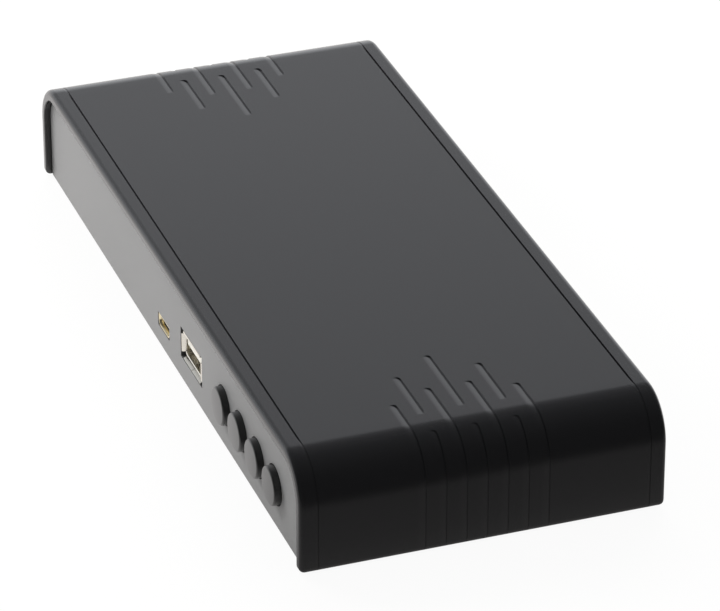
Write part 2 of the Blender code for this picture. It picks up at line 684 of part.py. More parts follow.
def floor_cutters():
    """Foot pockets, screw holes and cooling slots in the tray's floor."""
    cutters = []
    for i, (x, y) in enumerate(four_places(FOOT_FROM_END, FOOT_FROM_SIDE)):
        start = (x, y, BASE_Z - OVERRUN)
        depth = FOOT_POCKET_DEPTH + OVERRUN
        cutters.append(cylinder(f"foot_pocket_{i}", "Z", start, depth, FOOT_RADIUS + GAP))
    for i, (x, y) in enumerate(four_places(CASE_SCREW_FROM_END, CASE_SCREW_FROM_SIDE)):
        start = (x, y, BASE_Z - OVERRUN)
        head_depth = POST_SEAT_Z - BASE_Z + OVERRUN
        head_radius = CASE_SCREW_HEAD_RADIUS + GAP
        cutters.append(cylinder(f"head_pocket_{i}", "Z", start, head_depth, head_radius, sides=24))
        hole_depth = POST_TOP_Z - BASE_Z + 2 * OVERRUN
        hole_radius = CASE_SCREW_RADIUS + GAP
        cutters.append(cylinder(f"screw_hole_{i}", "Z", start, hole_depth, hole_radius, sides=24))
    for i, (x, y) in enumerate(board_screw_places()):
        start = (x, y, BASE_Z + PILLAR_FLOOR_LEFT)
        depth = BOARD_TOP_Z - BASE_Z
        cutters.append(cylinder(f"pillar_hole_{i}", "Z", start, depth, BOARD_SCREW_RADIUS + GAP, sides=16))
    first_vent = PROCESSOR_X - VENT_PITCH * (VENT_COUNT - 1) / 2
    for i in range(VENT_COUNT):
        x = first_vent + i * VENT_PITCH
        low = (x - VENT_WIDTH / 2, PROCESSOR_Y - VENT_LENGTH / 2, BASE_Z - OVERRUN)
        high = (x + VENT_WIDTH / 2, PROCESSOR_Y + VENT_LENGTH / 2, FLOOR_Z + OVERRUN)
        cutters.append(block(f"vent_{i}", low, high))
    return cutters


def make_bottom_tray():
    tray = tray_blank()
    low = (-TRAY_HALF_LENGTH - OVERRUN, -PANEL_INNER_Y, FLOOR_Z)
    high = (TRAY_HALF_LENGTH + OVERRUN, PANEL_INNER_Y, TOP_Z)
    cut(tray, [block("tray_hollow", low, high)])
    root_z = BASE_Z + TRAY_FLOOR / 2
    pillars = []
    for i, (x, y) in enumerate(four_places(CASE_SCREW_FROM_END, CASE_SCREW_FROM_SIDE)):
        pillars.append(cylinder(f"post_{i}", "Z", (x, y, root_z), POST_TOP_Z - root_z, POST_RADIUS))
    for i, (x, y) in enumerate(board_screw_places()):
        height = FLOOR_Z + BOARD_UNDER_SPACE - GAP - root_z
        pillars.append(cylinder(f"pillar_{i}", "Z", (x, y, root_z), height, PILLAR_RADIUS, sides=20))
    join(tray, pillars)
    cut(tray, panel_cutters() + floor_cutters())
    return tray


def make_feet():
    for i, (x, y) in enumerate(four_places(FOOT_FROM_END, FOOT_FROM_SIDE)):
        height = BASE_Z + FOOT_POCKET_DEPTH - GAP
        cylinder(f"foot_{i + 1}", "Z", (x, y, 0), height, FOOT_RADIUS, "foot_rubber")


def cross_cutters(name, x, y, z, head_radius, direction, depth):
    """The two crossed slots of a screw head, cut from its outer face."""
    arm = head_radius * CROSS_SHARE / 2
    low_z = min(z, z + direction * depth)
    high_z = max(z, z + direction * depth)
    half = CROSS_WIDTH / 2
    first = block(name + "_a", (x - arm, y - half, low_z), (x + arm, y + half, high_z))
    second = block(name + "_b", (x - half, y - arm, low_z), (x + half, y + arm, high_z))
    return [first, second]


def make_case_screws():
    """Screws from below, with their heads deep in the tray's posts."""
    for i, (x, y) in enumerate(four_places(CASE_SCREW_FROM_END, CASE_SCREW_FROM_SIDE)):
        head_top = POST_SEAT_Z - GAP
        head_low = head_top - CASE_SCREW_HEAD_HEIGHT
        profile = [
            (0, CASE_SCREW_HEAD_HEIGHT + CASE_SCREW_LENGTH),
            (CASE_SCREW_RADIUS, CASE_SCREW_HEAD_HEIGHT + CASE_SCREW_LENGTH),
            (CASE_SCREW_RADIUS, CASE_SCREW_HEAD_HEIGHT),
            (CASE_SCREW_HEAD_RADIUS, CASE_SCREW_HEAD_HEIGHT),
            (CASE_SCREW_HEAD_RADIUS, 0),
            (0, 0),
        ]
        screw = turned(f"case_screw_{i + 1}", profile, (x, y, head_low), (0, 0, 0), "zinc_plated_steel", 20)
        start = head_low - OVERRUN
        depth = CASE_SCREW_RECESS + OVERRUN
        cut(screw, cross_cutters(f"case_cross_{i}", x, y, start, CASE_SCREW_HEAD_RADIUS, 1, depth))


def make_board_screws():
    """Short screws from above, which hold the board to its pillars."""
    for i, (x, y) in enumerate(board_screw_places()):
        shank = SEAT_Z - BASE_Z - PILLAR_FLOOR_LEFT - GAP
        profile = [
            (0, BOARD_SCREW_HEAD_HEIGHT),
            (BOARD_SCREW_HEAD_RADIUS, BOARD_SCREW_HEAD_HEIGHT),
            (BOARD_SCREW_HEAD_RADIUS, 0),
            (BOARD_SCREW_RADIUS, 0),
            (BOARD_SCREW_RADIUS, -shank),
            (0, -shank),
        ]
        screw = turned(f"board_screw_{i + 1}", profile, (x, y, SEAT_Z), (0, 0, 0), "zinc_plated_steel", 16)
        start = SEAT_Z + BOARD_SCREW_HEAD_HEIGHT + OVERRUN
        depth = BOARD_SCREW_RECESS + OVERRUN
        cut(screw, cross_cutters(f"board_cross_{i}", x, y, start, BOARD_SCREW_HEAD_RADIUS, -1, depth))


def make_main_board():
    low = (BOARD_FAR_X, BOARD_FRONT_Y, BOARD_TOP_Z - BOARD_THICKNESS)
    high = (BOARD_NEAR_X, BOARD_REAR_Y, BOARD_TOP_Z)
    board = block("main_board", low, high, "green_board")
    holes = []
    depth = BOARD_THICKNESS + 2 * OVERRUN
    start_z = BOARD_TOP_Z - BOARD_THICKNESS - OVERRUN
    for i, (x, y) in enumerate(board_screw_places()):
        radius = BOARD_SCREW_RADIUS + GAP
        holes.append(cylinder(f"board_hole_{i}", "Z", (x, y, start_z), depth, radius, sides=16))
    for i, (x, y) in enumerate(four_places(CASE_SCREW_FROM_END, CASE_SCREW_FROM_SIDE)):
        if BOARD_FAR_X < x < BOARD_NEAR_X:
            holes.append(cylinder(f"post_hole_{i}", "Z", (x, y, start_z), depth, POST_RADIUS + GAP))
    cut(board, holes)


def make_usb_a_socket():
    """A tin plated shell on four short legs, with a flared lip, and the insulator inside it."""
    half_width = USB_A_WIDTH / 2
    half_height = USB_A_HEIGHT / 2
    front = -MOUTH_Y
    back = front + USB_A_DEPTH
    low = (USB_A_X - half_width, front, USB_A_Z - half_height)
    high = (USB_A_X + half_width, back, USB_A_Z + half_height)
    shell = block("usb_a_shell", low, high, "tin_plated_steel")
    lip_low = (USB_A_X - USB_A_LIP_WIDTH / 2, front, USB_A_Z - USB_A_LIP_HEIGHT / 2)
    lip_high = (USB_A_X + USB_A_LIP_WIDTH / 2, front + USB_A_LIP_THICKNESS, USB_A_Z + USB_A_LIP_HEIGHT / 2)
    pieces = [block("usb_a_lip", lip_low, lip_high)]
    for row, y in enumerate((BOARD_FRONT_Y + USB_A_LEG, back - USB_A_LEG)):
        for side in (-1, 1):
            x = USB_A_X + side * (half_width - USB_A_LEG / 2)
            leg_low = (x - USB_A_LEG / 2, y - USB_A_LEG / 2, SEAT_Z)
            leg_high = (x + USB_A_LEG / 2, y + USB_A_LEG / 2, USB_A_Z - half_height + USB_A_WALL / 2)
            pieces.append(block(f"usb_a_leg_{row}_{side}", leg_low, leg_high))
    join(shell, pieces)
    hollow_low = (low[0] + USB_A_WALL, front - OVERRUN, low[2] + USB_A_WALL)
    hollow_high = (high[0] - USB_A_WALL, back - USB_A_WALL, high[2] - USB_A_WALL)
    cut(shell, [block("usb_a_hollow", hollow_low, hollow_high)])
    rear = back - USB_A_WALL - GAP
    block_low = (hollow_low[0] + GAP, rear - USB_A_BLOCK_DEPTH, hollow_low[2] + GAP)
    block_high = (hollow_high[0] - GAP, rear, hollow_high[2] - GAP)
    insulator = block("usb_a_insulator", block_low, block_high, "white_insulator")
    tongue_top = hollow_high[2] - USB_A_TONGUE_DROP
    tongue_front = rear - USB_A_BLOCK_DEPTH - USB_A_TONGUE_LENGTH
    tongue_low = (block_low[0] + USB_A_TONGUE_MARGIN, tongue_front, tongue_top - USB_A_TONGUE_THICKNESS)
    tongue_high = (block_high[0] - USB_A_TONGUE_MARGIN, rear - USB_A_BLOCK_DEPTH / 2, tongue_top)
    join(insulator, [block("usb_a_tongue", tongue_low, tongue_high)])


def socket_outline(width, height, chamfer):
    """The outline of a socket whose lower corners are cut off, about its middle."""
    return [
        (-width / 2, height / 2),
        (width / 2, height / 2),
        (width / 2, chamfer - height / 2),
        (width / 2 - chamfer, -height / 2),
        (chamfer - width / 2, -height / 2),
        (-width / 2, chamfer - height / 2),
    ]


def make_shaped_socket(name, finish, place, facing, size, wall, chamfer, tongue):
    """A shell with cut-off lower corners, and an insulator with its tongue inside it.

    facing is -1 for a socket in the side at -Y and 1 for one in the side at +Y.
    """
    width, height, depth = size
    tongue_width, tongue_thickness, tongue_length, tongue_drop, block_depth = tongue
    mouth = facing * MOUTH_Y
    middle_y = mouth - facing * depth / 2
    outline = socket_outline(width, height, chamfer)
    shell = outline_prism(name + "_shell", outline, (place[0], middle_y, place[1]), depth, finish)
    inner_chamfer = chamfer - wall * (2 - math.sqrt(2))
    inner = socket_outline(width - 2 * wall, height - 2 * wall, inner_chamfer)
    hollow_depth = depth - wall + OVERRUN
    hollow_y = mouth - facing * (hollow_depth / 2 - OVERRUN)
    cut(shell, [outline_prism(name + "_hollow", inner, (place[0], hollow_y, place[1]), hollow_depth)])
    space = wall + GAP
    fit_chamfer = chamfer - space * (2 - math.sqrt(2))
    fitted = socket_outline(width - 2 * space, height - 2 * space, fit_chamfer)
    rear = mouth - facing * (depth - space)
    block_y = rear + facing * block_depth / 2
    insulator = outline_prism(name + "_insulator", fitted, (place[0], block_y, place[1]), block_depth,
                              "socket_insulator")
    ends = (rear + facing * block_depth / 2, rear + facing * (block_depth + tongue_length))
    middle_z = place[1] + tongue_drop
    low = (place[0] - tongue_width / 2, min(ends), middle_z - tongue_thickness / 2)
    high = (place[0] + tongue_width / 2, max(ends), middle_z + tongue_thickness / 2)
    join(insulator, [block(name + "_tongue", low, high)])


def make_micro_usb_socket():
    size = (MICRO_USB_WIDTH, MICRO_USB_HEIGHT, MICRO_USB_DEPTH)
    tongue = (MICRO_USB_TONGUE_WIDTH, MICRO_USB_TONGUE_THICKNESS, MICRO_USB_TONGUE_LENGTH,
              MICRO_USB_TONGUE_DROP, MICRO_USB_BLOCK_DEPTH)
    make_shaped_socket("micro_usb", "gold_plated_steel", (MICRO_USB_X, MICRO_USB_Z), -1, size,
                       MICRO_USB_WALL, MICRO_USB_CHAMFER, tongue)


def make_hdmi_socket():
    size = (HDMI_WIDTH, HDMI_HEIGHT, HDMI_DEPTH)
    tongue = (HDMI_TONGUE_WIDTH, HDMI_TONGUE_THICKNESS, HDMI_TONGUE_LENGTH, 0, HDMI_BLOCK_DEPTH)
    make_shaped_socket("hdmi", "tin_plated_steel", (HDMI_X, HDMI_Z), 1, size,
                       HDMI_WALL, HDMI_CHAMFER, tongue)


def cap_profile():
    """The outline of a button cap along its axis: height 0 is the outer face of the side panel."""
    flange_top = -PANEL_WALL - GAP
    flange_low = flange_top - BUTTON_FLANGE_THICKNESS
    rim = BUTTON_PROUD - BUTTON_CROWN - BUTTON_EDGE_RADIUS
    shoulder = BUTTON_RADIUS - BUTTON_EDGE_RADIUS
    profile = []
    for i in range(BUTTON_CROWN_RINGS):
        share = i / BUTTON_CROWN_RINGS
        profile.append((shoulder * share, BUTTON_PROUD - BUTTON_CROWN * share ** 2))
    for angle in (90, 60, 30, 0):
        turn = math.radians(angle)
        radius = shoulder + BUTTON_EDGE_RADIUS * math.cos(turn)
        profile.append((radius, rim + BUTTON_EDGE_RADIUS * math.sin(turn)))
    profile += [
        (BUTTON_RADIUS, flange_top),
        (BUTTON_FLANGE_RADIUS, flange_top),
        (BUTTON_FLANGE_RADIUS, flange_low),
        (0, flange_low),
    ]
    return profile


def make_buttons():
    """Each cap slides through the panel and presses the plunger of its own switch."""
    flange_back = -PANEL_INNER_Y + GAP + BUTTON_FLANGE_THICKNESS
    plunger_front = flange_back + GAP
    switch_front = plunger_front + PLUNGER_LENGTH - PLUNGER_BURIED
    for i, x in enumerate(button_places()):
        number = i + 1
        face = (x, -PANEL_OUTER_Y, BUTTON_Z)
        turned(f"button_cap_{number}", cap_profile(), face, (math.pi / 2, 0, 0), "button_plastic", 40)
        front = (x, plunger_front, BUTTON_Z)
        cylinder(f"switch_plunger_{number}", "Y", front, PLUNGER_LENGTH, PLUNGER_RADIUS,
                 "switch_plunger_plastic", 24)
        low = (x - SWITCH_WIDTH / 2, switch_front, SEAT_Z)
        high = (x + SWITCH_WIDTH / 2, switch_front + SWITCH_DEPTH, BUTTON_Z + SWITCH_HEAD_ROOM)
        body = block(f"switch_body_{number}", low, high, "socket_insulator")
        depth = PLUNGER_BURIED + BUTTON_TRAVEL + GAP + OVERRUN
        start = (x, switch_front - OVERRUN, BUTTON_Z)
        cut(body, [cylinder(f"plunger_bore_{i}", "Y", start, depth, PLUNGER_RADIUS + GAP, sides=24)])


def jack_body(name, x, z, width, height, depth, nose_radius, bore_radius, bore_depth):
    """A jack's body behind the panel, with a round nose that stands in the panel's hole."""
    face = PANEL_INNER_Y - GAP
    low = (x - width / 2, face - depth, z - height / 2)
    high = (x + width / 2, face, z + height / 2)
    body = block(name, low, high, "socket_insulator")
    nose_start = face - nose_radius
    join(body, [cylinder(name + "_nose", "Y", (x, nose_start, z), MOUTH_Y - nose_start, nose_radius)])
    bore_start = MOUTH_Y - bore_depth
    cut(body, [cylinder(name + "_bore", "Y", (x, bore_start, z), bore_depth + OVERRUN, bore_radius)])
    return body


def make_av_jack():
    jack_body("av_jack_body", AV_JACK_X, AV_JACK_Z, AV_JACK_WIDTH, AV_JACK_HEIGHT, AV_JACK_DEPTH,
              AV_JACK_NOSE_RADIUS, AV_JACK_BORE_RADIUS, AV_JACK_BORE_DEPTH)


def make_dc_jack():
    body = jack_body("dc_jack_body", DC_JACK_X, DC_JACK_Z, DC_JACK_WIDTH, DC_JACK_HEIGHT, DC_JACK_DEPTH,
                     DC_JACK_NOSE_RADIUS, DC_JACK_BORE_RADIUS, DC_JACK_BORE_DEPTH)
    bore_end = MOUTH_Y - DC_JACK_BORE_DEPTH
    root = bore_end - DC_PIN_ROOT
    seat_start = (DC_JACK_X, root - GAP, DC_JACK_Z)
    seat_radius = DC_PIN_RADIUS + GAP
    cut(body, [cylinder("dc_pin_seat", "Y", seat_start, DC_PIN_ROOT + OVERRUN, seat_radius, sides=24)])
    start = (DC_JACK_X, root, DC_JACK_Z)
    length = DC_PIN_ROOT + DC_PIN_LENGTH
    cylinder("dc_jack_pin", "Y", start, length, DC_PIN_RADIUS, "tin_plated_steel", 24)


def make_status_led():
    """A small light whose round nose stands in the panel, with two bent legs down to the board."""
    back = MOUTH_Y - LED_LENGTH
    profile = [
        (0, LED_LENGTH),
        (LED_RADIUS / 2, LED_LENGTH - LED_RADIUS * (1 - math.cos(math.radians(30)))),
        (LED_RADIUS, LED_LENGTH - LED_RADIUS),
        (LED_RADIUS, 0),
        (0, 0),
    ]
    led = turned("status_led", profile, (LED_X, back, LED_Z), (-math.pi / 2, 0, 0), "led_lens", 20)
    legs = []
    for side in (-1, 1):
        x = LED_X + side * LED_LEG_SPACING / 2
        leg_y = back - LED_LEG
        low = (x - LED_LEG / 2, leg_y - LED_LEG, LED_Z - LED_LEG / 2)
        high = (x + LED_LEG / 2, back + LED_LEG, LED_Z + LED_LEG / 2)
        legs.append(block(f"led_wire_{side}", low, high))
        drop_low = (low[0], low[1], SEAT_Z)
        drop_high = (high[0], leg_y, LED_Z)
        legs.append(block(f"led_leg_{side}", drop_low, drop_high))
    join(led, legs)


def make_ir_receiver():
    """The remote control's receiver, with a round lens towards its window."""
    face = PANEL_INNER_Y - RECEIVER_LENS_RADIUS / 2 - GAP
    low = (RECEIVER_X - RECEIVER_WIDTH / 2, face - RECEIVER_DEPTH, SEAT_Z)
    high = (RECEIVER_X + RECEIVER_WIDTH / 2, face, SEAT_Z + RECEIVER_HEIGHT)
    body = block("ir_receiver", low, high, "receiver_epoxy")
    bm = bmesh.new()
    bmesh.ops.create_uvsphere(bm, u_segments=20, v_segments=10, radius=RECEIVER_LENS_RADIUS)
    lens_place = (RECEIVER_X, face - RECEIVER_LENS_RADIUS / 3, RECEIVER_Z)
    join(body, [add_object("receiver_lens", mesh_from(bm, "receiver_lens"), lens_place)])


def make_processor():
    """The processor, the soft pad on it and the finned heat sink on the pad."""
    def square(size, low_z, high_z):
        low = (PROCESSOR_X - size / 2, PROCESSOR_Y - size / 2, low_z)
        high = (PROCESSOR_X + size / 2, PROCESSOR_Y + size / 2, high_z)
        return low, high

    block("processor", *square(PROCESSOR_SIZE, SEAT_Z, PROCESSOR_TOP_Z), "chip_epoxy")
    block("thermal_pad", *square(PAD_SIZE, PAD_Z, PAD_Z + PAD_THICKNESS), "thermal_pad")
    low, high = square(SINK_SIZE, SINK_Z, SINK_Z + SINK_HEIGHT)
    sink = block("heat_sink", low, high, "anodised_aluminium")
    slot_pitch = (SINK_SIZE - SINK_FIN) / (SINK_FIN_COUNT - 1)
    slots = []
    for i in range(SINK_FIN_COUNT - 1):
        slot_x = low[0] + SINK_FIN + i * slot_pitch
        slot_low = (slot_x, low[1] - OVERRUN, SINK_Z + SINK_BASE)
        slot_high = (slot_x + slot_pitch - SINK_FIN, high[1] + OVERRUN, high[2] + OVERRUN)
        slots.append(block(f"sink_slot_{i}", slot_low, slot_high))
    cut(sink, slots)


def chip(name, x, y, size_x, size_y, height, finish="chip_epoxy", rounding=0):
    """A flat part that sits on the board at a place of its own."""
    low = (x - size_x / 2, y - size_y / 2, SEAT_Z)
    high = (x + size_x / 2, y + size_y / 2, SEAT_Z + height)
    return block(name, low, high, finish, rounding)


def make_small_parts():
    for i, side in enumerate((-1, 1)):
        y = PROCESSOR_Y + side * MEMORY_SPACING_Y / 2
        chip(f"memory_chip_{i + 1}", MEMORY_X, y, MEMORY_WIDTH, MEMORY_LENGTH, CHIP_HEIGHT)
    chip("flash_chip", FLASH_X, FLASH_Y, FLASH_LENGTH, FLASH_WIDTH, CHIP_HEIGHT)
    chip("crystal", CRYSTAL_X, CRYSTAL_Y, CRYSTAL_WIDTH, CRYSTAL_LENGTH, CRYSTAL_HEIGHT,
         "capacitor_aluminium", CRYSTAL_HEIGHT / 3)
    chip("inductor", INDUCTOR_X, INDUCTOR_Y, INDUCTOR_SIZE, INDUCTOR_SIZE, INDUCTOR_HEIGHT,
         "chip_epoxy", INDUCTOR_ROUNDING)


def make_regulator():
    """The power regulator, with its cooling tab."""
    body = chip("regulator", REGULATOR_X, REGULATOR_Y, REGULATOR_LENGTH, REGULATOR_WIDTH, REGULATOR_HEIGHT)
    low_y = REGULATOR_Y + REGULATOR_WIDTH / 4
    low = (REGULATOR_X - REGULATOR_TAB_WIDTH / 2, low_y, SEAT_Z)
    high_y = REGULATOR_Y + REGULATOR_WIDTH / 2 + REGULATOR_TAB_LENGTH
    high = (REGULATOR_X + REGULATOR_TAB_WIDTH / 2, high_y, SEAT_Z + REGULATOR_TAB_HEIGHT)
    join(body, [block("regulator_tab", low, high)])


def make_capacitors():
    """Round cans, each on a square foot."""
    for i in range(CAPACITOR_COUNT):
        x = NEAR_END_X - CAPACITOR_FROM_END + i * CAPACITOR_PITCH
        y = BOARD_REAR_Y - CAPACITOR_FROM_REAR
        profile = [
            (0, CAPACITOR_HEIGHT),
            (CAPACITOR_RADIUS - CAPACITOR_EDGE, CAPACITOR_HEIGHT),
            (CAPACITOR_RADIUS, CAPACITOR_HEIGHT - CAPACITOR_EDGE),
            (CAPACITOR_RADIUS, CAPACITOR_BASE_HEIGHT / 2),
            (0, CAPACITOR_BASE_HEIGHT / 2),
        ]
        place = (x, y, SEAT_Z)
        can = turned(f"capacitor_{i + 1}", profile, place, (0, 0, 0), "capacitor_aluminium", 24)
        half = CAPACITOR_BASE / 2
        low = (x - half, y - half, SEAT_Z)
        high = (x + half, y + half, SEAT_Z + CAPACITOR_BASE_HEIGHT)
        join(can, [block(f"capacitor_base_{i}", low, high)])


make_top_cover()
make_bottom_tray()
make_feet()
make_case_screws()
make_board_screws()
make_main_board()
make_usb_a_socket()
make_micro_usb_socket()
make_hdmi_socket()
make_buttons()
make_av_jack()
make_dc_jack()
make_status_led()
make_ir_receiver()
make_processor()
make_small_parts()
make_regulator()
make_capacitors()
bpy.context.view_layer.update()
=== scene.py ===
# %% [markdown]
# # A black media player box
# The object is a long flat box of black moulded plastic. A cover is folded down at both ends over a
# tray, and one long side of the tray holds two USB sockets and four push buttons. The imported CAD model
# is loaded first and stays fixed. Each visible piece is then built with finer edges, in the place of its
# CAD solid, and every surface gets a finish of its own.

import json
import math

import bmesh
import bpy
from mathutils import Matrix, Vector


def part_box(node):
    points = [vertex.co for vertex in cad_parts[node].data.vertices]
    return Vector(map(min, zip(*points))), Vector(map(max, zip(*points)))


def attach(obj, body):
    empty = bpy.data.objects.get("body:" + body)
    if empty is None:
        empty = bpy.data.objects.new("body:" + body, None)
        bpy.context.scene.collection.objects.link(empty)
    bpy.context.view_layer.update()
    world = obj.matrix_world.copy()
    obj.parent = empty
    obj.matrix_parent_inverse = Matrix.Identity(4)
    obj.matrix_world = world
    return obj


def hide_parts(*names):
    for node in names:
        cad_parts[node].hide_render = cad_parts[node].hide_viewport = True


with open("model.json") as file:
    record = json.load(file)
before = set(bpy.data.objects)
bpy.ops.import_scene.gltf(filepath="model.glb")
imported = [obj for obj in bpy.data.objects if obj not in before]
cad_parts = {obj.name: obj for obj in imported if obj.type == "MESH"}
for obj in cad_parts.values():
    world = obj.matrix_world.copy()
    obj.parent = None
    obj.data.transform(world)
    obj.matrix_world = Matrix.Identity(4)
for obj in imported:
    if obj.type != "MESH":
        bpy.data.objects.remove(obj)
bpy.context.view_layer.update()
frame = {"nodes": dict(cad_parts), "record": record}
MM = 0.001

# %% [markdown]
# ## Sizes read from the CAD model
# Every piece below takes its place from the boxes of the CAD solids, so a piece can't drift away from
# what the physics model says. Only edge roundings and small details have sizes of their own.

# %% Read the main sizes
COVER_LOW, COVER_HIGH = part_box("top_cover")
TRAY_LOW, TRAY_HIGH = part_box("bottom_tray")
CASE_HALF_LENGTH = COVER_HIGH.x
CASE_HALF_WIDTH = COVER_HIGH.y
TOP_Z = COVER_HIGH.z
LOWER_EDGE_Z = COVER_LOW.z
PANEL_Y = TRAY_LOW.y
FOLD_RADIUS = 10.0 * MM
WALL = 2.5 * MM
print("cover", [round(v / MM, 2) for v in (CASE_HALF_LENGTH, CASE_HALF_WIDTH, TOP_Z, LOWER_EDGE_Z)])

# %% [markdown]
# ## Camera
# The photograph was taken from about a metre away with a long lens, from above the near end of the box.
# A long lens keeps the long edges almost parallel. The camera's place was worked out once from the
# outline of the case, as an azimuth, an elevation, a distance and a small shift across the view.

# %% Place the camera
IMAGE_WIDTH = 720
FOCAL_PIXELS = 4615.9
VIEW_AZIMUTH = math.radians(70.472)
VIEW_ELEVATION = math.radians(29.425)
VIEW_DISTANCE = 1022.08 * MM
VIEW_ACROSS = 5.651 * MM
VIEW_UP = 4.814 * MM

back = Vector((
    math.sin(VIEW_AZIMUTH) * math.cos(VIEW_ELEVATION),
    -math.cos(VIEW_AZIMUTH) * math.cos(VIEW_ELEVATION),
    math.sin(VIEW_ELEVATION),
))
right = Vector((math.cos(VIEW_AZIMUTH), math.sin(VIEW_AZIMUTH), 0))
up = back.cross(right)
camera_data = bpy.data.cameras.new("camera")
camera_data.sensor_width = 36.0
camera_data.lens = FOCAL_PIXELS * camera_data.sensor_width / IMAGE_WIDTH
camera_data.clip_end = 20
camera = bpy.data.objects.new("camera", camera_data)
place = back * VIEW_DISTANCE + right * VIEW_ACROSS + up * VIEW_UP + Vector((0, 0, LOWER_EDGE_Z))
turn = Matrix((right, up, back)).transposed().to_4x4()
camera.matrix_world = Matrix.Translation(place) @ turn
bpy.context.scene.collection.objects.link(camera)
bpy.context.scene.camera = camera
print("lens", round(camera_data.lens, 1), "mm, camera at", [round(v, 3) for v in place])

# %% [markdown]
# ## Helpers for materials
# Colours are written as sRGB hex values, the way a paint program shows them, and turned to the linear
# values that Blender works with. One function adds any node, sets its values and links its inputs. All
# patterns come from noises in Object coordinates, whose sizes are given in millimetres.

# %% Colour and node helpers
def linear(hex_colour):
    channels = [int(hex_colour[i:i + 2], 16) / 255 for i in (1, 3, 5)]
    return tuple(c / 12.92 if c <= 0.04045 else ((c + 0.055) / 1.055) ** 2.4 for c in channels) + (1,)


def add_node(tree, kind, settings=None, links=None):
    node = tree.nodes.new(kind)
    for name, value in (settings or {}).items():
        if isinstance(name, int) or name in node.inputs:
            node.inputs[name].default_value = value
        else:
            setattr(node, name, value)
    for name, source in (links or {}).items():
        tree.links.new(source, node.inputs[name])
    return node


def new_material(name):
    material = bpy.data.materials.new(name)
    material.use_nodes = True
    tree = material.node_tree
    return material, tree, tree.nodes["Principled BSDF"]


# %% Noise, and what it changes on a surface
NOISE_SPAN = (0.3, 0.7)


def add_noise(tree, size_mm, settings):
    place = add_node(tree, "ShaderNodeTexCoord")
    noise = add_node(tree, "ShaderNodeTexNoise", {"Scale": 1 / (size_mm * MM), **settings},
                     {"Vector": place.outputs["Object"]})
    return noise.outputs["Fac"]


def spread(tree, noise, low, high, span=NOISE_SPAN):
    """Map the noise's usual span to a range of values."""
    settings = {"From Min": span[0], "From Max": span[1], "To Min": low, "To Max": high}
    return add_node(tree, "ShaderNodeMapRange", settings, {"Value": noise}).outputs["Result"]


def vary(tree, shader, colour, shade, rough, relief, relief_mm):
    """Let noises change the colour, the roughness and the relief of a surface."""
    tint = add_node(tree, "ShaderNodeVectorMath", {"operation": "SCALE", 0: linear(colour)[:3]},
                    {"Scale": shade})
    bump = add_node(tree, "ShaderNodeBump", {"Strength": 1.0, "Distance": relief_mm * MM}, {"Height": relief})
    tree.links.new(tint.outputs["Vector"], shader.inputs["Base Color"])
    tree.links.new(rough, shader.inputs["Roughness"])
    tree.links.new(bump.outputs["Normal"], shader.inputs["Normal"])


print("noise lies mostly between", *NOISE_SPAN)

# %% [markdown]
# ## Satin black ABS
# The case is injection moulded ABS from a finely eroded steel mould. Such plastic has an index of
# refraction near 1.53 and almost no colour of its own, so what the eye sees is the soft reflection of
# the white table and backdrop: weak where you look straight at it and strong at a grazing angle. The
# mould's grain is a tenth of a millimetre; it is drawn a little coarser here, so that it shows. Every
# piece has a thin satin skin, which Coat gives. The cover is the smoothest, and its top mirrors the
# backdrop softly. The side panel and the buttons are rougher, and Sheen gives them the pale bloom that
# fine grain shows when seen along its length.

# %% Satin plastic for cover, tray and buttons
PLASTIC_IOR = 1.53
SKIN_IOR = 1.5
CLOUD_MM = 45
GRAIN_CHANGE = 0.08


def satin_plastic(name, colour, roughness, grain_mm, relief_mm, skin, sheen=0.0, wear=0.02):
    material, tree, shader = new_material(name)
    shader.inputs["IOR"].default_value = PLASTIC_IOR
    shader.inputs["Coat Weight"].default_value = skin
    shader.inputs["Coat Roughness"].default_value = roughness
    shader.inputs["Coat IOR"].default_value = SKIN_IOR
    shader.inputs["Sheen Weight"].default_value = sheen
    shader.inputs["Sheen Roughness"].default_value = 0.5
    grain = add_noise(tree, grain_mm, {"Detail": 2.0, "Roughness": 0.6})
    cloud = add_noise(tree, CLOUD_MM, {"Detail": 3.0, "Roughness": 0.55})
    shade = spread(tree, grain, 1 - GRAIN_CHANGE, 1 + GRAIN_CHANGE)
    rough = spread(tree, cloud, roughness - wear, roughness + wear)
    vary(tree, shader, colour, shade, rough, grain, relief_mm)
    return material


COVER_PLASTIC = satin_plastic("satin_black_abs", "#131315", roughness=0.25, grain_mm=0.35,
                              relief_mm=0.004, skin=0.5)
# The side panel's base colour is a lighter black than the cover's: painted light for the bright grazing light
# along the side.
PANEL_PLASTIC = satin_plastic("satin_black_abs_side", "#262626", roughness=0.55, grain_mm=0.35,
                              relief_mm=0.004, skin=1.0, sheen=0.5)
BUTTON_PLASTIC = satin_plastic("satin_black_abs_button", "#101010", roughness=0.42, grain_mm=0.30,
                               relief_mm=0.003, skin=1.0, sheen=0.12)
print("plastic finishes:", [m.name for m in (COVER_PLASTIC, PANEL_PLASTIC, BUTTON_PLASTIC)])

# %% [markdown]
# ## The other finishes
# Each one starts from the real material and from how its surface was made. A fine noise changes colour
# and roughness a little, as handling and moulding do, and presses a very low relief into the surface.

# %% One recipe for small moulded, plated and cast surfaces
ROUGH_CHANGE = 0.05


def small_finish(name, colour, roughness, metallic, grain_mm, change, relief_mm):
    material, tree, shader = new_material(name)
    shader.inputs["Metallic"].default_value = metallic
    noise = add_noise(tree, grain_mm, {"Detail": 3.0})
    shade = spread(tree, noise, 1 - change, 1 + change)
    rough = spread(tree, noise, roughness - ROUGH_CHANGE, roughness + ROUGH_CHANGE, (0, 1))
    vary(tree, shader, colour, shade, rough, noise, relief_mm)
    return material


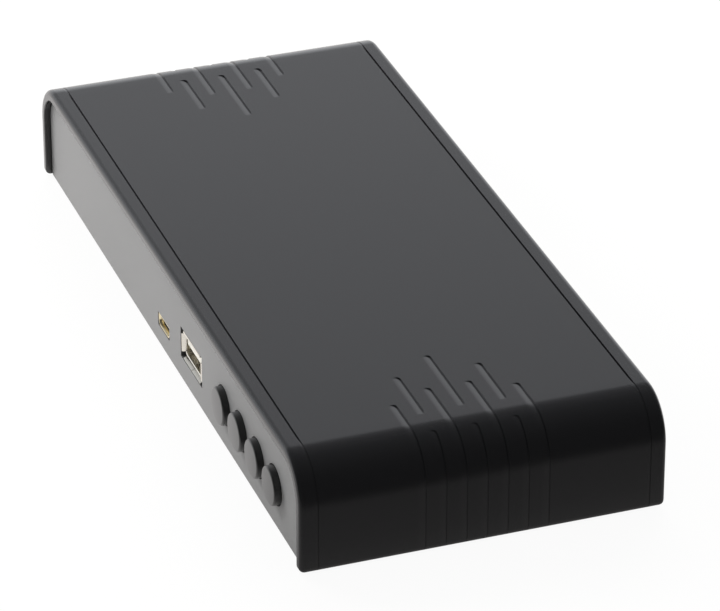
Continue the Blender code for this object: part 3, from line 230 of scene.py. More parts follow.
# Each: name, colour, roughness, metallic, grain in mm, change of shade, relief in mm
SLOT_FINISHES = {
    "satin_black_plastic": COVER_PLASTIC,
    "black_side_plastic": PANEL_PLASTIC,
    "button_plastic": BUTTON_PLASTIC,
    # Moulded rubber: no shine, and a dusty grey bloom on the black
    "foot_rubber": small_finish("moulded_rubber", "#1a1a1a", 0.85, 0.0, 0.5, 0.15, 0.01),
    # Zinc plate on a rolled screw head: bright grey with a slightly cloudy shine
    "zinc_plated_steel": small_finish("zinc_plated_steel", "#c8c8cc", 0.32, 1.0, 0.6, 0.05, 0.004),
    # Bright tin plate on a folded shell: warm white and nearly a mirror, dulled by fine rolling marks
    "tin_plated_steel": small_finish("bright_tin_plate", "#ece8de", 0.22, 1.0, 0.8, 0.03, 0.002),
    # A thin flash of gold over nickel: pale yellow, because the layer is so thin
    "gold_plated_steel": small_finish("pale_gold_flash", "#f0e3bd", 0.28, 1.0, 0.8, 0.04, 0.002),
    # Glass filled nylon: dark, with a soft dull shine from the fibres near its surface
    "socket_insulator": small_finish("glass_filled_nylon", "#161616", 0.50, 0.0, 0.4, 0.10, 0.006),
    # White moulded polyester: a clean, slightly warm white, hardly shiny
    "white_insulator": small_finish("white_moulded_polyester", "#f1eee4", 0.42, 0.0, 0.4, 0.03, 0.004),
    # Acetal: grey and waxy
    "switch_plunger_plastic": small_finish("grey_acetal", "#3c3c3c", 0.40, 0.0, 0.4, 0.08, 0.003),
    # Solder mask over glass cloth: deep green, glossy, with the weave just felt in the shine
    "green_board": small_finish("green_solder_mask", "#1c5c36", 0.32, 0.0, 1.2, 0.10, 0.01),
    # Black moulding epoxy: matt charcoal with a fine sandy grain
    "chip_epoxy": small_finish("black_moulding_epoxy", "#1e1e20", 0.52, 0.0, 0.3, 0.12, 0.01),
    # Filled silicone sheet: soft grey blue without any shine
    "thermal_pad": small_finish("filled_silicone_sheet", "#a8b2be", 0.80, 0.0, 0.5, 0.06, 0.01),
    # Anodised extrusion: dark metal with a silky shine
    "anodised_aluminium": small_finish("black_anodised_aluminium", "#2a2a2c", 0.42, 1.0, 0.5, 0.10, 0.004),
    # Drawn aluminium can: silver with a soft cloudy shine
    "capacitor_aluminium": small_finish("drawn_aluminium", "#d6d8dc", 0.32, 1.0, 0.7, 0.04, 0.003),
    # Cast red epoxy lens: smooth and glossy
    "led_lens": small_finish("red_cast_epoxy", "#c8302a", 0.12, 0.0, 1.0, 0.04, 0.001),
    # Cast dark epoxy that lets only infrared through: glossy and almost black
    "receiver_epoxy": small_finish("dark_cast_epoxy", "#1a1214", 0.12, 0.0, 1.0, 0.08, 0.001),
}
for entry in frame["record"]["subparts"]:
    solid = frame["nodes"][entry["node"]]
    solid.data.materials.clear()
    solid.data.materials.append(SLOT_FINISHES[entry["material_slot"]])
print(len(frame["nodes"]), "CAD solids have a finish")

# %% [markdown]
# ## Stage
# The box stands on a plain white table in front of a white backdrop, with a large soft light behind it
# and a small one near the far end of the side panel.
# The backdrop ends a little above the box, so the flat top mirrors it and the folds mirror the darker
# room over and in front of it. What shiny surfaces see of the table is a painted glow: painted light,
# brightest behind the box and falling off towards the camera, and painted shade in front of the near end,
# where the box's shadow lies. A colour ramp holds each of these two gradients. Camera rays see plain white.

# %% A ramp of strengths
def strength_ramp(tree, source, low, high, stops, tint):
    share = add_node(tree, "ShaderNodeMapRange", {"From Min": low, "From Max": high}, {"Value": source})
    ramp = add_node(tree, "ShaderNodeValToRGB", {}, {"Fac": share.outputs["Result"]})
    elements = ramp.color_ramp.elements
    while len(elements) < len(stops):
        elements.new(1.0)
    for element, (place, strength) in zip(elements, stops):
        element.position = (place - low) / (high - low)
        element.color = (strength * tint[0], strength * tint[1], strength * tint[2], 1)
    return ramp.outputs["Color"]


# %% Table
TABLE_SIZE = 6.0
TABLE_GAP = 0.02 * MM
# Each stop is a place along X in metres and the strength of the painted glow that a shiny surface sees
# there: painted light behind the box, and painted shade in front of it.
TABLE_PAINTED_LIGHT_STOPS = [(-0.20, 1.0), (0.0, 0.98), (0.045, 0.76), (0.075, 0.50), (0.102, 0.20), (0.120, 0.155),
               (0.150, 0.07), (0.200, 0.035), (0.60, 0.03)]
TABLE_TINT = (1.0, 0.975, 0.97)
# How far the camera sees the table as plain white; the rest of it shows the shadow.
SEEN_WHITE = 0.94


def shiny_ray(tree, ray):
    """1 for a ray that left a shiny or clear surface, and 0 for others."""
    links = {0: ray.outputs["Is Glossy Ray"], 1: ray.outputs["Is Transmission Ray"]}
    return add_node(tree, "ShaderNodeMath", {"operation": "MAXIMUM"}, links).outputs[0]


def mix(tree, share, first, second):
    return add_node(tree, "ShaderNodeMixShader", {}, {"Fac": share, 1: first, 2: second}).outputs[0]


def build_table():
    bm = bmesh.new()
    bmesh.ops.create_grid(bm, x_segments=1, y_segments=1, size=TABLE_SIZE / 2)
    bmesh.ops.translate(bm, vec=(0, 0, -TABLE_GAP), verts=bm.verts)
    mesh = bpy.data.meshes.new("table")
    bm.to_mesh(mesh)
    bm.free()
    table = bpy.data.objects.new("table", mesh)
    bpy.context.scene.collection.objects.link(table)
    material = bpy.data.materials.new("white_table")
    material.use_nodes = True
    tree = material.node_tree
    tree.nodes.clear()
    out = add_node(tree, "ShaderNodeOutputMaterial")
    ray = add_node(tree, "ShaderNodeLightPath")
    lit = add_node(tree, "ShaderNodeBsdfDiffuse", {"Color": linear("#fcfbf9")})
    place = add_node(tree, "ShaderNodeTexCoord")
    split = add_node(tree, "ShaderNodeSeparateXYZ", {}, {"Vector": place.outputs["Object"]})
    low, high = TABLE_PAINTED_LIGHT_STOPS[0][0], TABLE_PAINTED_LIGHT_STOPS[-1][0]
    # Painted light and shade: the glow that shiny surfaces see falls off along X, darkest in front of the
    # box.
    painted_falloff = strength_ramp(tree, split.outputs["X"], low, high, TABLE_PAINTED_LIGHT_STOPS, TABLE_TINT)
    seen_white = add_node(tree, "ShaderNodeEmission", {"Color": (1, 1, 1, 1), "Strength": 1.0})
    painted_glow = add_node(tree, "ShaderNodeEmission", {"Strength": 1.0}, {"Color": painted_falloff})
    weak = add_node(tree, "ShaderNodeMath", {"operation": "MULTIPLY", 1: SEEN_WHITE},
                    {0: ray.outputs["Is Camera Ray"]})
    seen = mix(tree, weak.outputs[0], lit.outputs[0], seen_white.outputs[0])
    tree.links.new(mix(tree, shiny_ray(tree, ray), seen, painted_glow.outputs[0]), out.inputs["Surface"])
    mesh.materials.append(material)


build_table()
print("table", TABLE_SIZE, "m wide")

# %% Backdrop and room: the world round the table
# Each stop is an angle in degrees, from the horizon behind the box over the top to the front, and the
# strength that a shiny surface sees there.
ROOM_STOPS = [(0, 1.0), (17, 1.0), (22, 0.74), (26, 0.67), (31, 0.54), (35, 0.48), (38, 0.20),
              (60, 0.16), (90, 0.11), (125, 0.06), (150, 0.04), (180, 0.04)]
ROOM_TINT = (0.94, 0.96, 1.0)
ROOM_LIGHT = 0.5


def build_world():
    world = bpy.data.worlds.new("studio")
    world.use_nodes = True
    tree = world.node_tree
    tree.nodes.clear()
    out = add_node(tree, "ShaderNodeOutputWorld")
    ray = add_node(tree, "ShaderNodeLightPath")
    place = add_node(tree, "ShaderNodeTexCoord")
    split = add_node(tree, "ShaderNodeSeparateXYZ", {}, {"Vector": place.outputs["Generated"]})
    behind = add_node(tree, "ShaderNodeMath", {"operation": "MULTIPLY", 1: -1.0}, {0: split.outputs["X"]})
    height = add_node(tree, "ShaderNodeMath", {"operation": "ABSOLUTE"}, {0: split.outputs["Z"]})
    angle = add_node(tree, "ShaderNodeMath", {"operation": "ARCTAN2"},
                     {0: height.outputs[0], 1: behind.outputs[0]})
    degrees = add_node(tree, "ShaderNodeMath", {"operation": "DEGREES"}, {0: angle.outputs[0]})
    glow = strength_ramp(tree, degrees.outputs[0], 0, 180, ROOM_STOPS, ROOM_TINT)
    plain = add_node(tree, "ShaderNodeBackground", {"Color": (1, 1, 1, 1), "Strength": ROOM_LIGHT})
    room = add_node(tree, "ShaderNodeBackground", {"Strength": 1.0}, {"Color": glow})
    white = add_node(tree, "ShaderNodeBackground", {"Color": (1, 1, 1, 1), "Strength": 1.0})
    unseen = mix(tree, shiny_ray(tree, ray), plain.outputs[0], room.outputs[0])
    tree.links.new(mix(tree, ray.outputs["Is Camera Ray"], unseen, white.outputs[0]), out.inputs["Surface"])
    bpy.context.scene.world = world


build_world()
print("room with", len(ROOM_STOPS), "steps from the backdrop to the front")

# %% Two soft lights, each turned to the middle of the box
def area_light(name, position, size, watts):
    data = bpy.data.lights.new(name, "AREA")
    data.shape = "RECTANGLE"
    data.size, data.size_y = size
    data.energy = watts
    light = bpy.data.objects.new(name, data)
    light.location = position
    light.rotation_euler = (-Vector(position)).to_track_quat("-Z", "Y").to_euler()
    light.visible_glossy = False
    bpy.context.scene.collection.objects.link(light)


area_light("back_light", position=(-1.3, 0.5, 1.1), size=(1.4, 1.0), watts=24)
area_light("side_light", position=(-0.45, -0.32, 0.3), size=(0.3, 0.3), watts=2.6)
print("two soft lights and a pale room")

# %% [markdown]
# ## Building pieces
# Each piece is a bmesh that ends up as an object at the origin, with its place in its mesh. It rides on
# the CAD body that carries it, and hides the CAD solid that it stands for.

# %% Helper that finishes a piece
SMOOTH_LIMIT = math.radians(38)


def finish_piece(bm, name, slot, replaced=(), body="case"):
    mesh = bpy.data.meshes.new(name)
    bm.to_mesh(mesh)
    bm.free()
    mesh.shade_smooth()
    mesh.set_sharp_from_angle(angle=SMOOTH_LIMIT)
    mesh.materials.append(SLOT_FINISHES[slot])
    piece = bpy.data.objects.new(name, mesh)
    bpy.context.scene.collection.objects.link(piece)
    even = piece.modifiers.new("even_normals", "WEIGHTED_NORMAL")
    even.keep_sharp = True
    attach(piece, body)
    if replaced:
        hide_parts(*replaced)
    triangles = sum(len(polygon.vertices) - 2 for polygon in mesh.polygons)
    print(name, triangles, "triangles")


# %% [markdown]
# ## The cover
# The cover is one moulded wall, 2.5 mm thick, flat on top and folded down at both ends with a 10 mm
# radius. It could be cut from a block with booleans, as the CAD solid is, but then the light would break
# on the facets of the folds and grooves. Here a line of points along the cover's face is extruded
# across the width, column by column, given its wall with solidify, and rounded along its rims with
# bevel. The rows and columns lie close together where a groove will be pressed in, and far apart
# elsewhere.

# %% Where a point lies on the cover's face
FOLD_START = CASE_HALF_LENGTH - FOLD_RADIUS
FOLD_LENGTH = FOLD_RADIUS * math.pi / 2
FOLD_CENTRE_Z = TOP_Z - FOLD_RADIUS
FACE_LENGTH = FOLD_START + FOLD_LENGTH + FOLD_CENTRE_Z - LOWER_EDGE_Z


def on_cover(distance, depth):
    radius = FOLD_RADIUS - depth
    if distance <= FOLD_START:
        return distance, TOP_Z - depth
    if distance >= FOLD_START + FOLD_LENGTH:
        return FOLD_START + radius, FOLD_CENTRE_Z - (distance - FOLD_START - FOLD_LENGTH)
    angle = (distance - FOLD_START) / FOLD_RADIUS
    return FOLD_START + radius * math.sin(angle), FOLD_CENTRE_Z + radius * math.cos(angle)


def from_cover(x, z):
    x = abs(x)
    if x <= FOLD_START:
        return x, TOP_Z - z
    if z <= FOLD_CENTRE_Z:
        return FOLD_START + FOLD_LENGTH + FOLD_CENTRE_Z - z, CASE_HALF_LENGTH - x
    angle = math.atan2(x - FOLD_START, z - FOLD_CENTRE_Z)
    reach = math.hypot(x - FOLD_START, z - FOLD_CENTRE_Z)
    return FOLD_START + FOLD_RADIUS * angle, FOLD_RADIUS - reach


print("face runs", round(FACE_LENGTH / MM, 1), "mm each way from the middle")

# %% The grooves: seven tracks at each end
# Each groove is a ramp that sinks away from the button side and ends at a steep wall. Past the fold the
# grooves and the line along each long edge are shallower. A run is the part of a track that is grooved.
TRACK_PITCH = 4.5 * MM
TRACK_SHIFT = 0.25 * MM
GROOVE_HALF = 0.9 * MM
GROOVE_DEPTH = 0.32 * MM
END_GROOVE_DEPTH = 0.22 * MM
WALL_WIDTH = 0.10 * MM
RAMP_POWER = 1.3
GROOVE_REACH_SHARE = 1.2
LINE_SLOPE = 4
EDGE_SOFTNESS = 0.03 * MM
LINE_Y = CASE_HALF_WIDTH - 3.8 * MM
LINE_HALF = 0.25 * MM
LINE_DEPTH = 0.4 * MM
END_LINE_DEPTH = 0.18 * MM
OPEN_END = FACE_LENGTH + 5 * MM
LOWER_START = 86.6 * MM
RUNS = {
    0: [(58.5 * MM, 79.9 * MM), (LOWER_START, OPEN_END)],
    1: [(71.1 * MM, OPEN_END)],
    2: [(64.9 * MM, 80.4 * MM), (LOWER_START, OPEN_END)],
    3: [(75.2 * MM, OPEN_END)],
}


def soft_floor(value, softness):
    if value <= -softness:
        return 0
    if value >= softness:
        return value
    return (value + softness) ** 2 / (4 * softness)


def groove_depth(distance, y):
    depth = 0
    track = max(-3, min(3, round((y + TRACK_SHIFT) / TRACK_PITCH)))
    across = y + TRACK_SHIFT - track * TRACK_PITCH
    if abs(across) < GROOVE_HALF * GROOVE_REACH_SHARE:
        folded = max(0, min(1, (distance - FOLD_START) / FOLD_LENGTH))
        deepest = GROOVE_DEPTH + (END_GROOVE_DEPTH - GROOVE_DEPTH) * folded
        ramp = deepest * max(0, (across + GROOVE_HALF) / (2 * GROOVE_HALF)) ** RAMP_POWER
        for start, end in RUNS[abs(track)]:
            beyond = max(start + GROOVE_HALF - distance, distance - end + GROOVE_HALF, 0)
            inside = GROOVE_HALF - math.hypot(across, beyond)
            depth = max(depth, min(ramp, soft_floor(inside * deepest / WALL_WIDTH, EDGE_SOFTNESS)))
    off_line = abs(abs(y) - LINE_Y)
    if off_line < 2 * LINE_HALF:
        deepest = LINE_DEPTH if distance < FOLD_START else END_LINE_DEPTH
        depth = max(depth, min(deepest, soft_floor((LINE_HALF - off_line) * LINE_SLOPE, EDGE_SOFTNESS)))
    return depth


print("deepest groove", round(groove_depth(62 * MM, 0.45 * MM) / MM, 2), "mm")

# %% Rows and columns of the cover's skin
GROOVE_SHARES = (0, 0.28, 0.5, 0.66, 0.76, 0.82, 0.87, 0.92, 0.97, 1.01, 1.1)
SHALLOW_SHARES = (0.28, 0.55, 0.8, 0.98, 1.1)
LINE_SHARES = (0, 0.3, 0.6, 0.85, 1.0, 1.12, 1.3)
RIM_RADIUS = 1.2 * MM
INNER_RIM_RADIUS = 0.25 * MM
RIM_COLUMN = 1.35 * MM
PLAIN_COLUMNS = (16.5 * MM, 20 * MM, 28 * MM)
PLAIN_ROWS = (0, 25 * MM, 45 * MM)
LOWER_ROWS = (9 * MM, 4 * MM, RIM_COLUMN, 0)
FOLD_STEPS = 26
CLOSEST_ROWS = 0.03 * MM


def cover_columns():
    columns = set()
    for track in range(-3, 4):
        middle = track * TRACK_PITCH - TRACK_SHIFT
        columns |= {middle + share * GROOVE_HALF for share in GROOVE_SHARES}
        columns |= {middle - share * GROOVE_HALF for share in SHALLOW_SHARES}
    for side in (-1, 1):
        for share in LINE_SHARES:
            columns |= {side * LINE_Y + share * LINE_HALF, side * LINE_Y - share * LINE_HALF}
        columns |= {side * place for place in PLAIN_COLUMNS}
        columns |= {side * (CASE_HALF_WIDTH - RIM_COLUMN), side * CASE_HALF_WIDTH}
    return sorted(columns)


def cover_rows():
    rows = set(PLAIN_ROWS)
    for track_runs in RUNS.values():
        for start, end in track_runs:
            for share in GROOVE_SHARES:
                rows.add(start + GROOVE_HALF - share * GROOVE_HALF)
                if end < FACE_LENGTH:
                    rows.add(end - GROOVE_HALF + share * GROOVE_HALF)
    rows |= {FOLD_START + FOLD_LENGTH * i / FOLD_STEPS for i in range(FOLD_STEPS + 1)}
    rows |= {FACE_LENGTH - above for above in LOWER_ROWS}
    ordered = sorted(rows)
    kept = [ordered[0]]
    for row in ordered[1:]:
        if row - kept[-1] > CLOSEST_ROWS:
            kept.append(row)
    return kept


columns, rows = cover_columns(), cover_rows()
print(len(columns), "columns,", 2 * len(rows) - 1, "rows")

# %% Extrude, thicken, round and press the grooves in
MERGE = 0.0005 * MM
RIM_ANGLE = math.radians(60)


def build_cover():
    bm = bmesh.new()
    places = [on_cover(row, 0) for row in rows]
    places = [(-x, z) for x, z in reversed(places[1:])] + places
    line = [bm.verts.new((x, columns[0], z)) for x, z in places]
    edges = [bm.edges.new(pair) for pair in zip(line, line[1:])]
    for before, after in zip(columns, columns[1:]):
        grown = bmesh.ops.extrude_edge_only(bm, edges=edges)["geom"]
        edges = [item for item in grown if isinstance(item, bmesh.types.BMEdge)]
        fresh = [item for item in grown if isinstance(item, bmesh.types.BMVert)]
        bmesh.ops.translate(bm, vec=(0, after - before, 0), verts=fresh)
    bmesh.ops.recalc_face_normals(bm, faces=bm.faces)
    top = max(bm.faces, key=lambda face: face.calc_center_median().z)
    if top.normal.z < 0:
        bmesh.ops.reverse_faces(bm, faces=bm.faces)
    bmesh.ops.solidify(bm, geom=bm.faces[:], thickness=WALL)
    bmesh.ops.remove_doubles(bm, verts=bm.verts, dist=MERGE)
    for deepest, radius in ((WALL / 2, RIM_RADIUS), (2 * WALL, INNER_RIM_RADIUS)):
        rims = []
        for edge in bm.edges:
            if len(edge.link_faces) == 2 and edge.calc_face_angle(0) > RIM_ANGLE:
                middle = (edge.verts[0].co + edge.verts[1].co) / 2
                if from_cover(middle.x, middle.z)[1] < deepest:
                    rims.append(edge)
        bmesh.ops.bevel(bm, geom=rims, offset=radius, offset_type="OFFSET", segments=5, profile=0.5,
                        affect="EDGES", material=-1, clamp_overlap=True)
    for vert in bm.verts:
        distance, depth = from_cover(vert.co.x, vert.co.z)
        pressed = groove_depth(distance, vert.co.y)
        if depth < pressed:
            x, z = on_cover(distance, pressed)
            vert.co.x = math.copysign(x, vert.co.x)
            vert.co.z = z
    finish_piece(bm, "cover_skin", "satin_black_plastic", ["top_cover"])


build_cover()

# %% [markdown]
# ## Helpers that shape the small pieces
# Four ways of making serve for all of them. A round piece is its outline turned about its axis. A drawn
# metal shell is a row of rounded rings, each extruded from the one before. A flap or a spring is a bent
# strip of sheet metal. A moulded or stamped piece with holes is a merged copy of its CAD solid, whose
# sharp edges are rounded, because the holes must stay where the CAD has them.

# %% Turned outlines
def middle_of(low, high, y=None, z=None):
    """The middle of a box, with another depth or height where one is given."""
    y = (low.y + high.y) / 2 if y is None else y
    z = (low.z + high.z) / 2 if z is None else z
    return Vector(((low.x + high.x) / 2, y, z))


def arc(centre, radius, first, last, steps):
    points = []
    for i in range(steps + 1):
        turn = math.radians(first + (last - first) * i / steps)
        points.append((centre[0] + radius * math.cos(turn), centre[1] + radius * math.sin(turn)))
    return points


def turned(profile, place, axis, steps=72):
    bm = bmesh.new()
    line = [bm.verts.new((radius, 0, height)) for radius, height in profile]
    edges = [bm.edges.new(pair) for pair in zip(line, line[1:])]
    bmesh.ops.spin(bm, geom=line + edges, cent=(0, 0, 0), axis=(0, 0, 1), angle=math.tau, steps=steps,
                   use_merge=True)
    bmesh.ops.remove_doubles(bm, verts=bm.verts, dist=MERGE)
    bmesh.ops.recalc_face_normals(bm, faces=bm.faces)
    lean = Vector((0, 0, 1)).rotation_difference(Vector(axis)).to_matrix()
    bmesh.ops.rotate(bm, cent=(0, 0, 0), matrix=lean, verts=bm.verts)
    bmesh.ops.translate(bm, vec=place, verts=bm.verts)
    return bm


# %% Lofted rings and bent strips
def box_outline(width, height):
    right, top = width / 2, height / 2
    return [(-right, -top), (right, -top), (right, top), (-right, top)]


def loft(outline, rounding, rings, place):
    """A closed skin through scaled copies of an outline, each (width share, height share, depth)."""
    bm = bmesh.new()
    wide, high, depth = rings[0]
    verts = [bm.verts.new(place + Vector((x * wide, depth, z * high))) for x, z in outline]
    bm.faces.new(verts)
    bmesh.ops.bevel(bm, geom=verts, offset=rounding, segments=6, profile=0.5, affect="VERTICES", material=-1)
    edges = bm.edges[:]
    for after in rings[1:]:
        grown = bmesh.ops.extrude_edge_only(bm, edges=edges)["geom"]
        edges = [item for item in grown if isinstance(item, bmesh.types.BMEdge)]
        fresh = [item for item in grown if isinstance(item, bmesh.types.BMVert)]
        centre = Matrix.Translation(-(place + Vector((0, depth, 0))))
        bmesh.ops.scale(bm, vec=(after[0] / wide, 1, after[1] / high), space=centre, verts=fresh)
        bmesh.ops.translate(bm, vec=(0, after[2] - depth, 0), verts=fresh)
        wide, high, depth = after
    bmesh.ops.edgeloop_fill(bm, edges=edges)
    bmesh.ops.recalc_face_normals(bm, faces=bm.faces)
    return bm


def bent_strip(start, outward, along, line, thickness, rounding):
    """A strip that follows a line of (outward, depth) points, is as long as along, and has thickness."""
    bm = bmesh.new()
    outward, along = Vector(outward), Vector(along)
    points = [bm.verts.new(start - along / 2 + outward * out + Vector((0, depth, 0))) for out, depth in line]
    edges = [bm.edges.new(pair) for pair in zip(points, points[1:])]
    grown = bmesh.ops.extrude_edge_only(bm, edges=edges)["geom"]
    fresh = [item for item in grown if isinstance(item, bmesh.types.BMVert)]
    bmesh.ops.translate(bm, vec=along, verts=fresh)
    tips = sorted(bm.verts, key=lambda vert: vert.co.y)[:2]
    bmesh.ops.bevel(bm, geom=tips, offset=rounding, segments=5, profile=0.5, affect="VERTICES", material=-1)
    bmesh.ops.recalc_face_normals(bm, faces=bm.faces)
    if bm.faces[:][0].normal.dot(outward) < 0:
        bmesh.ops.reverse_faces(bm, faces=bm.faces)
    bmesh.ops.solidify(bm, geom=bm.faces[:], thickness=thickness)
    bmesh.ops.recalc_face_normals(bm, faces=bm.faces)
    return soften(bm, thickness / 6)


# %% Merged copies with rounded edges
SHARP = math.radians(25)
FLAT = math.radians(1)
ON_PLANE = 0.01 * MM


def merged_copy(node):
    bm = bmesh.new()
    bm.from_mesh(frame["nodes"][node].data)
    bmesh.ops.remove_doubles(bm, verts=bm.verts, dist=MERGE)
    bmesh.ops.dissolve_limit(bm, angle_limit=FLAT, verts=bm.verts, edges=bm.edges)
    return bm


def soften(bm, radius, segments=3, choose=None):
    edges = []
    for edge in bm.edges:
        if len(edge.link_faces) == 2 and edge.calc_face_angle(0) > SHARP:
            if choose is None or choose(edge):
                edges.append(edge)
    bmesh.ops.bevel(bm, geom=edges, offset=radius, offset_type="OFFSET", segments=segments, profile=0.5,
                    affect="EDGES", material=-1, clamp_overlap=True)
    return bm


def on_plane(axis, value):
    """A test that says whether an edge lies in the plane where this coordinate has this value."""
    def test(edge):
        return all(abs(vert.co[axis] - value) < ON_PLANE for vert in edge.verts)
    return test


def soft_copy(node, radius, body="case"):
    finish_piece(soften(merged_copy(node), radius), node + "_soft", SLOT_OF[node], [node], body)


def bar(low, high, radius):
    """A small square bar with rounded edges, such as a contact or a leg."""
    bm = bmesh.new()
    low, high = Vector(low), Vector(high)
    made = bmesh.ops.create_grid(bm, x_segments=1, y_segments=1, size=0.5)["verts"]
    size = high - low
    bmesh.ops.scale(bm, vec=(size.x, size.y, 1), verts=made)
    bmesh.ops.translate(bm, vec=((low.x + high.x) / 2, (low.y + high.y) / 2, low.z), verts=made)
    grown = bmesh.ops.extrude_face_region(bm, geom=bm.faces[:])["geom"]
    lifted = [item for item in grown if isinstance(item, bmesh.types.BMVert)]
    bmesh.ops.translate(bm, vec=(0, 0, size.z), verts=lifted)
    bmesh.ops.recalc_face_normals(bm, faces=bm.faces)
    return soften(bm, radius)


def gather(parts):
    """Several bmeshes as one."""
    whole = bmesh.new()
    for part in parts:
        mesh = bpy.data.meshes.new("part")
        part.to_mesh(mesh)
        part.free()
        whole.from_mesh(mesh)
        bpy.data.meshes.remove(mesh)
    return whole


SLOT_OF = {entry["node"]: entry["material_slot"] for entry in frame["record"]["subparts"]}
print(len(SLOT_OF), "nodes with", len(set(SLOT_OF.values())), "finishes")

# %% [markdown]
# ## The tray and its side panel
# The tray is one moulding: floor, two long walls, posts and pillars. Its near wall is the side panel with
# the sockets and buttons. A mould leaves a small radius on every outer edge, and that thin bright line
# round each opening is what makes the panel look moulded, not drawn.

# %% Tray
PANEL_EDGE_RADIUS = 0.22 * MM
FLOOR_EDGE_RADIUS = 0.15 * MM


def build_tray():
    bm = merged_copy("bottom_tray")
    soften(bm, PANEL_EDGE_RADIUS, 3, on_plane(1, TRAY_LOW.y))
    soften(bm, PANEL_EDGE_RADIUS, 3, on_plane(1, TRAY_HIGH.y))
    soften(bm, FLOOR_EDGE_RADIUS, 3, on_plane(2, TRAY_LOW.z))
    finish_piece(bm, "tray_shell", "black_side_plastic", ["bottom_tray"])


build_tray()

# %% [markdown]
# ## Push buttons
# Each cap is a plain round of black plastic with a flange behind the panel, which keeps it from falling
# out. Its face is almost flat, and its edge has a small radius. It slides in its hole by half a
# millimetre and presses a switch. The cap could be a cylinder with a bevel. Turning its outline gives
# the crown, the edge and the flange in one go, with even facets.

# %% Button caps
BUTTON_EDGE = 0.4 * MM
BUTTON_CROWN = 0.1 * MM
BUTTON_GAP = 0.3 * MM
PANEL_WALL = 2.0 * MM
FLANGE_THICKNESS = 0.8 * MM
FLANGE_EDGE = 0.15 * MM
FLANGE_WIDTH = 0.85 * MM
CROWN_STEPS = 8
BUTTON_NODES = [name for name in frame["nodes"] if name.startswith("button_cap_")]


def build_button(node):
    low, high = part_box(node)
    face = middle_of(low, high, y=PANEL_Y)
    proud = PANEL_Y - low.y
    flange = (high.x - low.x) / 2
    radius = flange - FLANGE_WIDTH
    shoulder = radius - BUTTON_EDGE
    shares = [i / CROWN_STEPS for i in range(CROWN_STEPS)]
    crown = [(shoulder * share, proud - BUTTON_CROWN * share ** 2) for share in shares]
    edge = arc((shoulder, proud - BUTTON_CROWN - BUTTON_EDGE), BUTTON_EDGE, 90, 0, 8)
    flange_top = -PANEL_WALL - BUTTON_GAP
    rim = arc((flange - FLANGE_EDGE, flange_top - FLANGE_EDGE), FLANGE_EDGE, 90, 0, 4)
    back = flange_top - FLANGE_THICKNESS
    profile = crown + edge + [(radius, flange_top)] + rim + [(flange, back), (0, back)]
    bm = turned(profile, face, (0, -1, 0), 96)
    body = node.replace("button_cap", "button")
    finish_piece(bm, node + "_turned", "button_plastic", [node], body)


for node in BUTTON_NODES:
    build_button(node)

# %% [markdown]
# ## Full-size USB socket
# The shell is folded from thin tin plated steel. At its mouth each side ends in a flap that is bent
# outwards, with a notch at each corner, and the lower flap is split in two. Inside, a white tongue
# carries four gold contacts on its lower face, and two springs stand up from the floor of the shell to
# hold the plug. The body is lofted through rounded rings, outside to inside, and the flaps are bent
# strips, because flat flaps with notches are what catches the light round the real mouth.

# %% USB shell
USB_LOW, USB_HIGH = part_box("usb_a_shell")
USB_WALL = 0.4 * MM
USB_BODY = Vector((13.4 * MM, 0, 6.3 * MM))
USB_LIP = Vector((USB_HIGH.x - USB_LOW.x, 0, 6.8 * MM))
USB_DEPTH = USB_HIGH.y - USB_LOW.y
USB_PLACE = middle_of(USB_LOW, USB_HIGH, USB_LOW.y, USB_HIGH.z - USB_LIP.z / 2)
USB_LEG = 1.2 * MM
USB_LEG_EDGE = 0.15 * MM
FRONT_LEG_DEPTH = 4.4 * MM
USB_ROUNDING = 0.7 * MM
BODY_START = 0.75 * MM
FLAP_ROUNDING = 0.35 * MM
FLAP_NOTCH = 0.9 * MM
SPLIT_GAP = 0.12 * MM
# Each bend is a row of points: share of the flare, and depth in mm
FLAP_BEND = ((1, 0), (0.93, 0.08), (0.62, 0.35), (0.28, 0.65), (0.06, 0.95), (0, 1.25))
LOWER_BEND = ((1, 0), (0.95, 0.04), (0.60, 0.28), (0.22, 0.58), (0.04, 0.85), (0, 1.2))
LOWER_FLARE = 0.45 * MM


def flap_line(flare, bend=FLAP_BEND):
    """The bend of a flap: straight on from the body's wall, then outwards to the lip."""
    return [(flare * share, depth * MM) for share, depth in bend]


